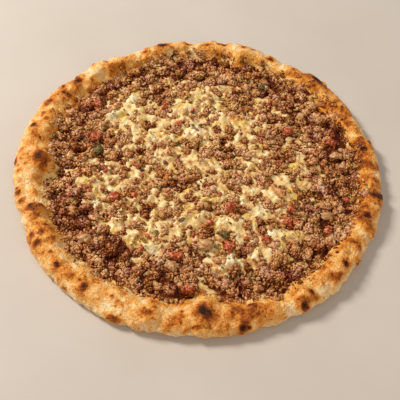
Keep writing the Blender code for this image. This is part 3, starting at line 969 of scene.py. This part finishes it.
# places where the mince browned most
DARK_MEAT = (
    Patch(-95, -55, 15, 0.8),
    Patch(-62, -85, 14, 0.7),
    Patch(-45, -96, 10, 0.4),
    Patch(-8, -113, 12, 0.8),
    Patch(38, -108, 12, 0.6),
    Patch(78, -98, 12, 0.8),
    Patch(100, -72, 10, 0.5),
    Patch(112, 48, 10, 0.7),
    Patch(118, -22, 8, 0.5),
    Patch(-103, 62, 10, 0.8),
    Patch(-92, 20, 9, 0.7),
    Patch(-106, 12, 8, 0.5),
    Patch(-110, -14, 8, 0.6),
    Patch(-42, 78, 8, 0.7),
    Patch(-50, 42, 7, 0.6),
    Patch(-46, 5, 7, 0.5),
    Patch(-20, 118, 10, 0.6),
    Patch(56, 88, 9, 0.6),
    Patch(50, -50, 6, 0.9),
    Patch(26, 20, 8, 0.4),
    Patch(62, 12, 7, 0.5),
    Patch(10, -8, 6, 0.5),
    Patch(88, -34, 8, 0.6),
    Patch(38, -72, 6, 0.7),
)
# places where tomato and paprika oil dyed the crumbs orange
OILY = (
    Patch(12, -53, 6, 1.0),
    Patch(-25, -10, 8, 0.7),
    Patch(2, -64, 7, 0.6),
    Patch(-50, -30, 6, 0.5),
    Patch(28, -74, 6, 0.7),
    Patch(30, -42, 6, 0.7),
    Patch(70, -52, 6, 0.8),
    Patch(68, -22, 5, 0.6),
    Patch(-92, -14, 6, 0.6),
    Patch(110, 40, 8, 0.5),
    Patch(105, 72, 8, 0.6),
    Patch(20, 118, 9, 0.6),
    Patch(-70, 108, 8, 0.6),
    Patch(-90, 60, 6, 0.6),
    Patch(-5, -115, 6, 0.7),
    Patch(-38, -90, 6, 0.5),
    Patch(-110, 60, 8, 0.5),
    Patch(-68, -34, 6, 0.5),
)
crumbs = [
    sprinkle("mince_crumbs_large", 3.7 * MM, 1.3 * MM, 2.3 * MM, 4, 7, 101, 0.15, 4 * MM),
    sprinkle("mince_crumbs_medium", 2.8 * MM, 0.8 * MM, 1.5 * MM, 3, 6, 102, 0.5, 5 * MM),
    sprinkle("mince_crumbs_middling", 2.7 * MM, 0.7 * MM, 1.2 * MM, 3, 5, 105, 1.0, 5 * MM),
    sprinkle("mince_crumbs_small", 2.8 * MM, 0.4 * MM, 0.8 * MM, 3, 4, 103, 1.8, 7 * MM),
]

# %% [markdown]
# ## Melted cheese
#
# Mozzarella and a yellow cheese melted into the mince. The film is a second disc on the same
# fields. Where there is much cheese it lies over the clumps, and where there is little it
# dives below the meat, so its visible edge is ragged and real, with no outline drawn.


# %% Cheese film and its numbers
# where the cheese took colour from the oven, and where it is yellow or milky
TOASTED = (
    Patch(27, 57, 5, 1.0),
    Patch(-94, -12, 5, 1.0),
    Patch(-39, -68, 4, 0.9),
    Patch(-55, -33, 5, 0.9),
    Patch(3, 34, 3, 0.6),
    Patch(-34, 30, 3, 0.8),
    Patch(65, -18, 6, 1.0),
    Patch(12, -53, 5, 0.8),
    Patch(-25, -10, 5, 0.6),
    Patch(57, 70, 4, 0.5),
    Patch(-70, 20, 4, 0.4),
)
YELLOW = (
    Patch(-54, -42, 5, 0.8),
    Patch(45, 75, 5, 0.9),
    Patch(75, 6, 5, 0.9),
    Patch(86, 50, 6, 0.8),
    Patch(74, -16, 7, 1.0),
    Patch(9, -29, 7, 1.0),
    Patch(-38, -72, 6, 0.7),
    Patch(32, 58, 8, 0.8),
    Patch(-88, -22, 8, 0.7),
    Patch(-34, 32, 6, 0.8),
    Patch(-12, 70, 7, 0.5),
    Patch(72, -60, 7, 0.7),
    Patch(-58, 60, 8, 0.4),
)
MILKY = (
    Patch(-78, 52, 7, 0.9),
    Patch(-5, 41, 5, 1.0),
    Patch(-79, -43, 5, 0.7),
    Patch(16, -102, 5, 0.6),
    Patch(53, -36, 7, 0.7),
    Patch(30, -86, 8, 0.8),
    Patch(-30, -82, 6, 0.6),
    Patch(-20, -52, 5, 0.6),
    Patch(-62, 73, 6, 0.6),
    Patch(-72, -33, 5, 0.5),
)


def cheese_numbers(x, y):
    """Attributes of the cheese: toasted, yellow and milky amounts, each a sum of hills.

    The cheese number is the film's depth over the meat, 1 from 2.2 mm on.
    """
    uneven = 0.5 * flat_cloud(x, y, 5 * MM, 91)
    toasted = hills(x, y, TOASTED) * (1 + uneven) + smooth(0.45, 0.8, flat_cloud(x, y, 7 * MM, 92)) * 0.6
    yellow = hills(x, y, YELLOW) + 0.9 * smooth(0.1, 0.5, flat_cloud(x, y, 9 * MM, 93))
    milky = hills(x, y, MILKY) + 0.6 * smooth(0.3, 0.7, flat_cloud(x, y, 8 * MM, 94))
    deep = np.clip((film_height(x, y) - meat_floor(x, y)[0]) / (2.2 * MM), 0, 1)
    return {"toasted": toasted, "yellow": yellow, "milky": milky, "cheese": deep}


film = make_disc("melted_cheese", 250, lambda turn: 116 * MM + 0 * turn, film_height, 4.75 * MM, cheese_numbers)
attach(film, "root")

# %% [markdown]
# The frame's cheese pools each get a crowned puddle: a polar patch whose middle bulges, whose
# outline wanders, and whose edge dives into the film. Its place, length, width and turn come
# from the frame's own piece.


# %% Read the toppings from the frame
Footprint = namedtuple("Footprint", "x y length width turn top")


def footprint(name):
    """Middle, half length, half width and turn of a frame piece, from the spread of its points."""
    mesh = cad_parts[name].data
    points = np.empty(len(mesh.vertices) * 3)
    mesh.vertices.foreach_get("co", points)
    points = points.reshape(-1, 3)
    low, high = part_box(name)
    middle = np.array([(low[0] + high[0]) / 2, (low[1] + high[1]) / 2])
    flat = points[:, :2] - middle
    strength, direction = np.linalg.eigh(np.cov(flat.T))
    along = flat @ direction[:, 1]
    across = flat @ direction[:, 0]
    turn = math.atan2(direction[1, 1], direction[0, 1])
    place = middle + BOX_MIDDLE
    return Footprint(place[0], place[1], np.ptp(along) / 2, np.ptp(across) / 2, turn, high[2])


def nodes_of(kind):
    """The frame's node names that start with a kind of topping."""
    return sorted(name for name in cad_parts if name.startswith(kind + "_"))


FOOTPRINTS = {kind: [footprint(name) for name in nodes_of(kind)] for kind in ("cheese", "tomato", "onion", "pepper")}
print("toppings:", {kind: len(found) for kind, found in FOOTPRINTS.items()})


# %% Make the cheese puddles
def make_puddles(name, places, rings, around, wander, crown, drape, seed):
    """Puddles as one piece. Radius is share * (1 + wander * cloud); height is the ground plus
    crown * (1 - share squared), and the edge dives below it. drape is how much of the meat's
    clumps shows through.
    """
    x0, y0, length, width, turned = (np.array(column)[:, None, None] for column in list(zip(*places))[:5])
    share = np.linspace(0.12, 1.15, rings)[None, :, None]
    turn = np.arange(around)[None, None] * TURN / around
    own = np.arange(len(x0))[:, None, None] * 3.7
    spin = np.stack(np.broadcast_arrays(np.cos(turn), np.sin(turn), own), axis=-1)
    reach = share * (1 + wander * cloud(spin, 0.8, seed))
    along = length * reach * np.cos(turn)
    across = width * reach * np.sin(turn)
    x = x0 + along * np.cos(turned) - across * np.sin(turned)
    y = y0 + along * np.sin(turned) + across * np.cos(turned)
    ground = np.maximum(film_height(x, y), drape * (meat_floor(x, y)[0] + 0.7 * MM))
    lift = crown * (1 - share**2) - 1.3 * smooth(0.75, 1.15, share) + 0.25 * flat_cloud(x, y, 2.6 * MM, seed + 1)
    top = np.stack([x, y, ground + MM * lift], axis=-1)
    under = top[:, -1:] * (1, 1, 0) + (0, 0, 5.0 * MM)
    grid = np.concatenate([top, under], axis=1)
    ends = grid[:, [0, -1]].mean(axis=2)
    points = np.concatenate([grid.reshape(len(x0), -1, 3), ends], axis=1)
    flat = points.reshape(-1, 3)
    numbers = cheese_numbers(flat[:, 0], flat[:, 1])
    numbers["cheese"] = np.maximum(numbers["cheese"], 0.5)
    flat[:, :2] -= BOX_MIDDLE
    piece = make_piece(name, flat, crumb_faces(len(x0), rings + 1, around), numbers)
    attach(piece, "root")
    return piece


pools = make_puddles("cheese_puddles", FOOTPRINTS["cheese"], 10, 34, 0.4, 0.3, 0.0, 301)
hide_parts(*nodes_of("cheese"))

# %% [markdown]
# Single shreds that fell on the crumbs melted where they lay. They are small puddles too, but
# they drape over the clumps.

# %% Drape the melted shreds
shred_random = np.random.default_rng(303)
shred_x, shred_y = jittered_spots(6.5 * MM, shred_random)
likely = smooth(0.1, 0.5, cheese_amount(shred_x, shred_y)) * (np.hypot(shred_x, shred_y) < 118 * MM)
chosen = likely * 0.55 > shred_random.uniform(0, 1, len(shred_x))
shred_places = np.stack([
    shred_x[chosen],
    shred_y[chosen],
    shred_random.uniform(2.0, 4.2, chosen.sum()) * MM,
    shred_random.uniform(1.0, 2.2, chosen.sum()) * MM,
    shred_random.uniform(0, math.pi, chosen.sum()),
], axis=1)
shreds = make_puddles("melted_shreds", shred_places, 5, 14, 0.45, 0.4, 1.0, 305)

# %% [markdown]
# ## Tomato, onion and pepper
#
# These were diced with a knife, so each starts as a rounded block: a direction whose parts are
# raised to a power below one is a superellipsoid. Heat then softens and shrinks it, which a
# cloud adds. The blocks sit where the frame has them.


# %% Make the diced vegetables
def dice_points(place, seed, depth, power, rows=12, around=20):
    """A superellipsoid with a cloud on it, stretched and turned to its footprint."""
    unit = ball(rows, around)
    block = np.sign(unit) * np.abs(unit) ** power
    own = np.array([seed * 7.3, seed * 3.1, seed * 5.7])
    dents = 0.5 * cloud(unit + own, 0.9, 311) + 0.7 * cloud(unit + own, 0.4, 312)
    block = block * (1 + dents[:, None])
    x = block[:, 0] * place.length * 0.85
    y = block[:, 1] * place.width * 0.85
    z = block[:, 2] * depth + place.top - depth * 0.9 - 0.7 * MM
    return np.stack([
        place.x + x * math.cos(place.turn) - y * math.sin(place.turn),
        place.y + x * math.sin(place.turn) + y * math.cos(place.turn),
        z,
    ], axis=1)


def make_dice(name, kind, depth, power):
    """All the blocks of one vegetable as one piece."""
    rows, around = 12, 20
    made = np.concatenate([dice_points(p, k + 1, depth, power, rows, around) for k, p in enumerate(FOOTPRINTS[kind])])
    made[:, :2] -= BOX_MIDDLE
    piece = make_piece(name, made, crumb_faces(len(FOOTPRINTS[kind]), rows, around))
    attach(piece, "root")
    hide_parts(*nodes_of(kind))
    return piece


tomato = [make_dice("tomato_dice", "tomato", 2.6 * MM, 0.75)]
onion = [make_dice("onion_dice", "onion", 1.8 * MM, 0.6)]
pepper = [make_dice("pepper_dice", "pepper", 1.6 * MM, 0.65)]

# %% [markdown]
# Smaller bits of the same vegetables lie all over: tomato and red pepper flecks, softened
# onion, and chopped parsley. They are made as the crumbs are, flatter, and rest on top.


# %% Strew the small flecks
def strew(name, count, low, high, flat, seed, reach=122 * MM, fixed=()):
    """Flecks at fixed places (x, y in millimetres), then at random places inside reach."""
    random = np.random.default_rng(seed)
    turn = random.uniform(0, TURN, count)
    radius = np.sqrt(random.uniform(0.0, 1, count)) * reach
    x = np.concatenate([[spot[0] * MM for spot in fixed], radius * np.cos(turn)])
    y = np.concatenate([[spot[1] * MM for spot in fixed], radius * np.sin(turn)])
    sizes = random.uniform(low, high, len(x))
    sizes[: len(fixed)] = high
    ground = np.maximum(meat_floor(x, y)[0], film_height(x, y))
    spots = np.stack([x, y, ground + 1.5 * MM], axis=1)
    points = crumb_points(spots, sizes, 5, 8, 0.4, flat, random)
    per = points.shape[1]
    tint = np.repeat(random.uniform(0, 1, len(x)), per)
    made = points.reshape(-1, 3)
    made[:, :2] -= BOX_MIDDLE
    piece = make_piece(name, made, crumb_faces(len(x), 5, 8), {"tint": tint})
    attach(piece, "root")
    return piece


RED_SPOTS = ((0, -66), (-103, -28), (57, 74), (47, 112), (-15, 114), (-25, -10), (12, -53), (128, -3), (120, -22))
GREEN_SPOTS = (
    (80, -32), (90, -30), (-113, -15), (48, 27), (98, 19), (84, -42), (-48, 102), (-2, 95), (114, -16), (-58, -50),
)
PALE_SPOTS = ((118, 29), (110, -3), (8, -38))
tomato.append(strew("tomato_flecks", 110, 0.9 * MM, 2.0 * MM, 0.6, 401, fixed=RED_SPOTS))
onion.append(strew("onion_flecks", 110, 0.9 * MM, 2.2 * MM, 0.5, 402, fixed=PALE_SPOTS))
pepper.append(strew("parsley_flecks", 110, 0.6 * MM, 1.5 * MM, 0.3, 403, fixed=GREEN_SPOTS))

# %% [markdown]
# ## Fried mince, the material
#
# Lean mince browns where it touches the pan and stays greyer inside, and fat makes it gleam.
# Each crumb has its own tint, from dark brown through reddish brown to light fawn. The tint also
# holds painted shade: crumbs in the gaps between clumps are darker, and each crumb is lighter on
# top and darker below. Cheese that melted over a crumb coats it: the coat shows where the cheese
# number is high.

# %% Mince material
mince, tree, shader = start_material("fried_mince")
place = add(tree, "TexCoord").outputs["Object"]
# tint carries each crumb's tone and painted shade: darker in the gaps between clumps, lighter on its top.
tint = add(tree, "Attribute", attribute_name="tint").outputs["Fac"]
cheese = add(tree, "Attribute", attribute_name="cheese").outputs["Fac"]
hue = add(tree, "Attribute", attribute_name="hue").outputs["Fac"]
oil = add(tree, "Attribute", attribute_name="oil").outputs["Fac"]
fibre = add(tree, "TexNoise", {"Vector": place, "Scale": 950.0, "Detail": 2.0, "Roughness": 0.6}).outputs["Fac"]
region = add(tree, "TexNoise", {"Vector": place, "Scale": 90.0, "Detail": 2.0}).outputs["Fac"]
fibre_shift = add(tree, "MapRange", {"Value": fibre, "From Min": 0.36, "From Max": 0.64, "To Min": -0.3, "To Max": 0.3})
tone = add(tree, "Math", {0: tint, 1: fibre_shift.outputs["Result"]}, operation="ADD").outputs[0]
browns = add(tree, "ValToRGB", {"Fac": tone})
fill_ramp(browns, ((0.0, "461200"), (0.18, "742E08"), (0.36, "A05C2A"), (0.55, "C4844E"), (0.75, "DEA66C"), (1.0, "F2CA9A")))
reds = add(tree, "ValToRGB", {"Fac": tone})
fill_ramp(reds, ((0.0, "420E06"), (0.18, "682418"), (0.36, "904836"), (0.55, "B27056"), (0.75, "CE9A7E"), (1.0, "E8C6AA")))
to_red = add(tree, "MapRange", {"Value": hue, "From Min": 0.0, "From Max": 0.6, "To Min": 0.0, "To Max": 1.0})
warm = add(tree, "Mix", {0: to_red.outputs["Result"], 6: browns.outputs["Color"], 7: reds.outputs["Color"]}, data_type="RGBA")
olives = add(tree, "ValToRGB", {"Fac": tone})
fill_ramp(olives, ((0.0, "401E00"), (0.18, "6A3C08"), (0.36, "92621E"), (0.55, "B68A42"), (0.75, "D4AE6A"), (1.0, "EED29A")))
to_olive = add(tree, "MapRange", {"Value": hue, "From Min": -0.1, "From Max": -0.6, "To Min": 0.0, "To Max": 0.9})
meat_colour = add(tree, "Mix", {0: to_olive.outputs["Result"], 6: warm.outputs[2], 7: olives.outputs["Color"]}, data_type="RGBA")
oranges = add(tree, "ValToRGB", {"Fac": tone})
fill_ramp(oranges, ((0.0, "5A1E08"), (0.3, "9A4416"), (0.6, "CC7630"), (1.0, "E8A862")))
oiled_colour = add(tree, "Mix", {0: oil, 6: meat_colour.outputs[2], 7: oranges.outputs["Color"]}, data_type="RGBA")
coat_edge = add(tree, "Math", {0: cheese, 1: fibre_shift.outputs["Result"]}, operation="ADD").outputs[0]
coat = add(tree, "MapRange", {"Value": coat_edge, "From Min": 0.25, "From Max": 0.85, "To Min": 0.0, "To Max": 0.85})
coat_colour = add(tree, "ValToRGB", {"Fac": region})
fill_ramp(coat_colour, ((0.3, "D99C50"), (0.45, "DFB272"), (0.6, "E8C88E"), (0.75, "DCB284")))
coated = add(tree, "Mix", {0: coat.outputs["Result"], 6: oiled_colour.outputs[2], 7: coat_colour.outputs["Color"]}, data_type="RGBA")
tree.links.new(coated.outputs[2], shader.inputs["Base Color"])
shader.inputs["Roughness"].default_value = 0.42
shader.inputs["IOR"].default_value = 1.32
shader.inputs["Specular Tint"].default_value = linear("FFC890")
bump = add(tree, "Bump", {"Height": fibre, "Strength": 0.9, "Distance": 0.0007})
tree.links.new(bump.outputs["Normal"], shader.inputs["Normal"])
for piece in crumbs:
    piece.data.materials.append(mince)

# %% [markdown]
# The imported meat between the crumbs is the same mince, painted darker as shade in the gaps
# between the crumbs, and darkest where the clump field is low: painted shade between clumps.

# %% Packed mince material
shaded_packed_mince, tree, shader = start_material("packed_mince_with_painted_shade")
place = add(tree, "TexCoord").outputs["Object"]
clump = add(tree, "Attribute", attribute_name="clump").outputs["Fac"]
fibre = add(tree, "TexNoise", {"Vector": place, "Scale": 480.0, "Detail": 4.0, "Roughness": 0.65}).outputs["Fac"]
fibre_shift = add(tree, "MapRange", {"Value": fibre, "From Min": 0.3, "From Max": 0.7, "To Min": -0.3, "To Max": 0.3})
# Painted shade: low clump height gives the dark end of this ramp, and the whole ramp is darker than the crumbs' to
# stand for shade between them.
tone = add(tree, "Math", {0: clump, 1: fibre_shift.outputs["Result"]}, operation="ADD").outputs[0]
gap_shade_ramp = add(tree, "ValToRGB", {"Fac": tone})
fill_ramp(gap_shade_ramp, ((0.0, "48180A"), (0.3, "6A3016"), (0.6, "92562E"), (1.0, "B67C4C")))
tree.links.new(gap_shade_ramp.outputs["Color"], shader.inputs["Base Color"])
shader.inputs["Roughness"].default_value = 0.55
shader.inputs["IOR"].default_value = 1.28
shader.inputs["Specular Tint"].default_value = linear("FFD8A8")
bump = add(tree, "Bump", {"Height": fibre, "Strength": 0.8, "Distance": 0.001})
tree.links.new(bump.outputs["Normal"], shader.inputs["Normal"])
packed.data.materials.append(shaded_packed_mince)

# %% [markdown]
# ## Melted cheese, the material
#
# Cheese is fat and protein with water in it, so light goes in a little and comes out soft.
# Most of it is cream-coloured. The yellow cheese and the milky mozzarella melted in patches,
# and the driest places are toasted orange to brown.

# %% Cheese material
melted, tree, shader = start_material("melted_cheese")
place = add(tree, "TexCoord").outputs["Object"]
fine = add(tree, "TexNoise", {"Vector": place, "Scale": 420.0, "Detail": 3.0, "Roughness": 0.6}).outputs["Fac"]
wide = add(tree, "TexNoise", {"Vector": place, "Scale": 130.0, "Detail": 3.0}).outputs["Fac"]
thick = add(tree, "Attribute", attribute_name="cheese").outputs["Fac"]
thick_shift = add(tree, "MapRange", {"Value": thick, "From Min": 0.0, "From Max": 1.0, "To Min": -0.14, "To Max": 0.1})
mottle = add(tree, "MapRange", {"Value": fine, "From Min": 0.35, "From Max": 0.65, "To Min": -0.1, "To Max": 0.1})
shifted = add(tree, "Math", {0: mottle.outputs["Result"], 1: thick_shift.outputs["Result"]}, operation="ADD").outputs[0]
cream_place = add(tree, "Math", {0: wide, 1: shifted}, operation="ADD").outputs[0]
cream = add(tree, "ValToRGB", {"Fac": cream_place})
fill_ramp(cream, ((0.28, "AE7236"), (0.38, "D2A260"), (0.48, "E6C280"), (0.6, "EED296"), (0.75, "F2E0B2")))
layers = cream.outputs["Color"]
for key, colour in (("yellow", "E2BE58"), ("milky", "DEE0C2"), ("toasted", "C8702A")):
    value = add(tree, "Attribute", attribute_name=key).outputs["Fac"]
    uneven = add(tree, "Math", {0: value, 1: fine}, operation="MULTIPLY").outputs[0]
    amount = add(tree, "MapRange", {"Value": uneven, "From Min": 0.1, "From Max": 0.5, "To Min": 0.0, "To Max": 0.85})
    layers = add(tree, "Mix", {0: amount.outputs["Result"], 6: layers, 7: linear(colour)}, data_type="RGBA").outputs[2]
tree.links.new(layers, shader.inputs["Base Color"])
shader.inputs["Roughness"].default_value = 0.34
shader.inputs["IOR"].default_value = 1.44
shader.inputs["Subsurface Weight"].default_value = 0.3
shader.inputs["Subsurface Radius"].default_value = (1.0, 0.7, 0.4)
shader.inputs["Subsurface Scale"].default_value = 0.002
bump = add(tree, "Bump", {"Height": fine, "Strength": 0.4, "Distance": 0.0006})
tree.links.new(bump.outputs["Normal"], shader.inputs["Normal"])
for piece in (film, pools, shreds):
    piece.data.materials.append(melted)


# %% [markdown]
# ## Vegetables, the materials
#
# Baked tomato is brick red with darker skin edges and is wet. Softened onion is nearly clear,
# fawn from the meat juice. Baked pepper and parsley are a dull deep green.

# %% Vegetable materials
def vegetable(name, steps, scale, roughness):
    """A wet vegetable: a ramp over a cloud of the given scale, with a little depth."""
    made, tree, shader = start_material(name)
    place = add(tree, "TexCoord").outputs["Object"]
    mottle = add(tree, "TexNoise", {"Vector": place, "Scale": scale, "Detail": 3.0}).outputs["Fac"]
    ramp = add(tree, "ValToRGB", {"Fac": mottle})
    fill_ramp(ramp, steps)
    tree.links.new(ramp.outputs["Color"], shader.inputs["Base Color"])
    shader.inputs["Roughness"].default_value = roughness
    shader.inputs["IOR"].default_value = 1.42
    shader.inputs["Subsurface Weight"].default_value = 0.1
    shader.inputs["Subsurface Radius"].default_value = (1.0, 0.9, 0.7)
    shader.inputs["Subsurface Scale"].default_value = 0.0008
    bump = add(tree, "Bump", {"Height": mottle, "Strength": 0.4, "Distance": 0.0008})
    tree.links.new(bump.outputs["Normal"], shader.inputs["Normal"])
    return made


looks = (
    (tomato, vegetable("baked_tomato", ((0.36, "7A2C10"), (0.47, "B44824"), (0.56, "CA683A"), (0.66, "D89C68")), 560.0, 0.38)),
    (onion, vegetable("softened_onion", ((0.3, "A8744A"), (0.5, "C6935F"), (0.7, "D8AF80")), 260.0, 0.35)),
    (pepper, vegetable("baked_pepper_and_parsley", ((0.36, "34300C"), (0.5, "5E521C"), (0.64, "8C7438")), 560.0, 0.5)),
)
for pieces, material in looks:
    for piece in pieces:
        piece.data.materials.append(material)

# %% [markdown]
# ## Floor, light and camera
#
# The floor is plain and pale. A large soft lamp stands behind the bread on its left, so relief
# shows without hard shadows, and the whole sky fills the rest.

# %% Floor
floor_points = np.array([[-20, -20, 0], [20, -20, 0], [20, 20, 0], [-20, 20, 0]], dtype=float)
floor_mesh = bpy.data.meshes.new("floor")
floor_mesh.from_pydata(floor_points.tolist(), [], [[0, 1, 2, 3]])
floor = bpy.data.objects.new("floor", floor_mesh)
bpy.context.scene.collection.objects.link(floor)
table_top, tree, shader = start_material("pale_stone_table")
place = add(tree, "TexCoord").outputs["Object"]
mottle = add(tree, "TexNoise", {"Vector": place, "Scale": 9.0, "Detail": 5.0}).outputs["Fac"]
stone = add(tree, "ValToRGB", {"Fac": mottle})
fill_ramp(stone, ((0.3, "C6BCB2"), (0.7, "CDC4BB")))
tree.links.new(stone.outputs["Color"], shader.inputs["Base Color"])
shader.inputs["Roughness"].default_value = 0.7
floor_mesh.materials.append(table_top)

# %% Light
world = bpy.data.worlds.new("room")
bpy.context.scene.world = world
world.use_nodes = True
sky = world.node_tree.nodes["Background"]
sky.inputs["Color"].default_value = linear("FFFDFA")
sky.inputs["Strength"].default_value = 0.36


def lamp(name, place, aim, size, watts, colour):
    """A square area lamp at a place, facing aim."""
    light = bpy.data.lights.new(name, "AREA")
    light.size = size
    light.energy = watts
    light.color = linear(colour)[:3]
    made = bpy.data.objects.new(name, light)
    made.location = place
    made.rotation_euler = (Vector(aim) - Vector(place)).to_track_quat("-Z", "Y").to_euler()
    bpy.context.scene.collection.objects.link(made)


lamp("window", (-1.3, 0.6, 1.3), (0, 0, 0), 0.5, 38.0, "FFF8EE")
lamp("fill", (0.9, -1.3, 1.0), (0, 0, 0), 1.2, 9.0, "FFE6C8")

# %% Camera
camera_data = bpy.data.cameras.new("camera")
camera = bpy.data.objects.new("camera", camera_data)
bpy.context.scene.collection.objects.link(camera)
bpy.context.scene.camera = camera
camera_data.lens = 65.4
camera_data.sensor_width = 36
camera_data.clip_start = 0.01
rise = math.radians(54.1)
aim = Vector((0.0031, -0.0314, 0.005))
away = Vector((0, -math.cos(rise), math.sin(rise)))
roll = math.radians(4.14)
right = Vector((1, 0, 0)) * math.cos(roll) + away.cross(Vector((1, 0, 0))) * math.sin(roll)
up = away.cross(right)
turned = Matrix((right, up, away)).transposed()
camera.matrix_world = Matrix.Translation(aim + away * 0.58) @ turned.to_4x4()
bpy.context.scene.view_settings.view_transform = "Standard"
bpy.context.scene.view_settings.look = "None"

# %% Finish
bpy.context.view_layer.update()
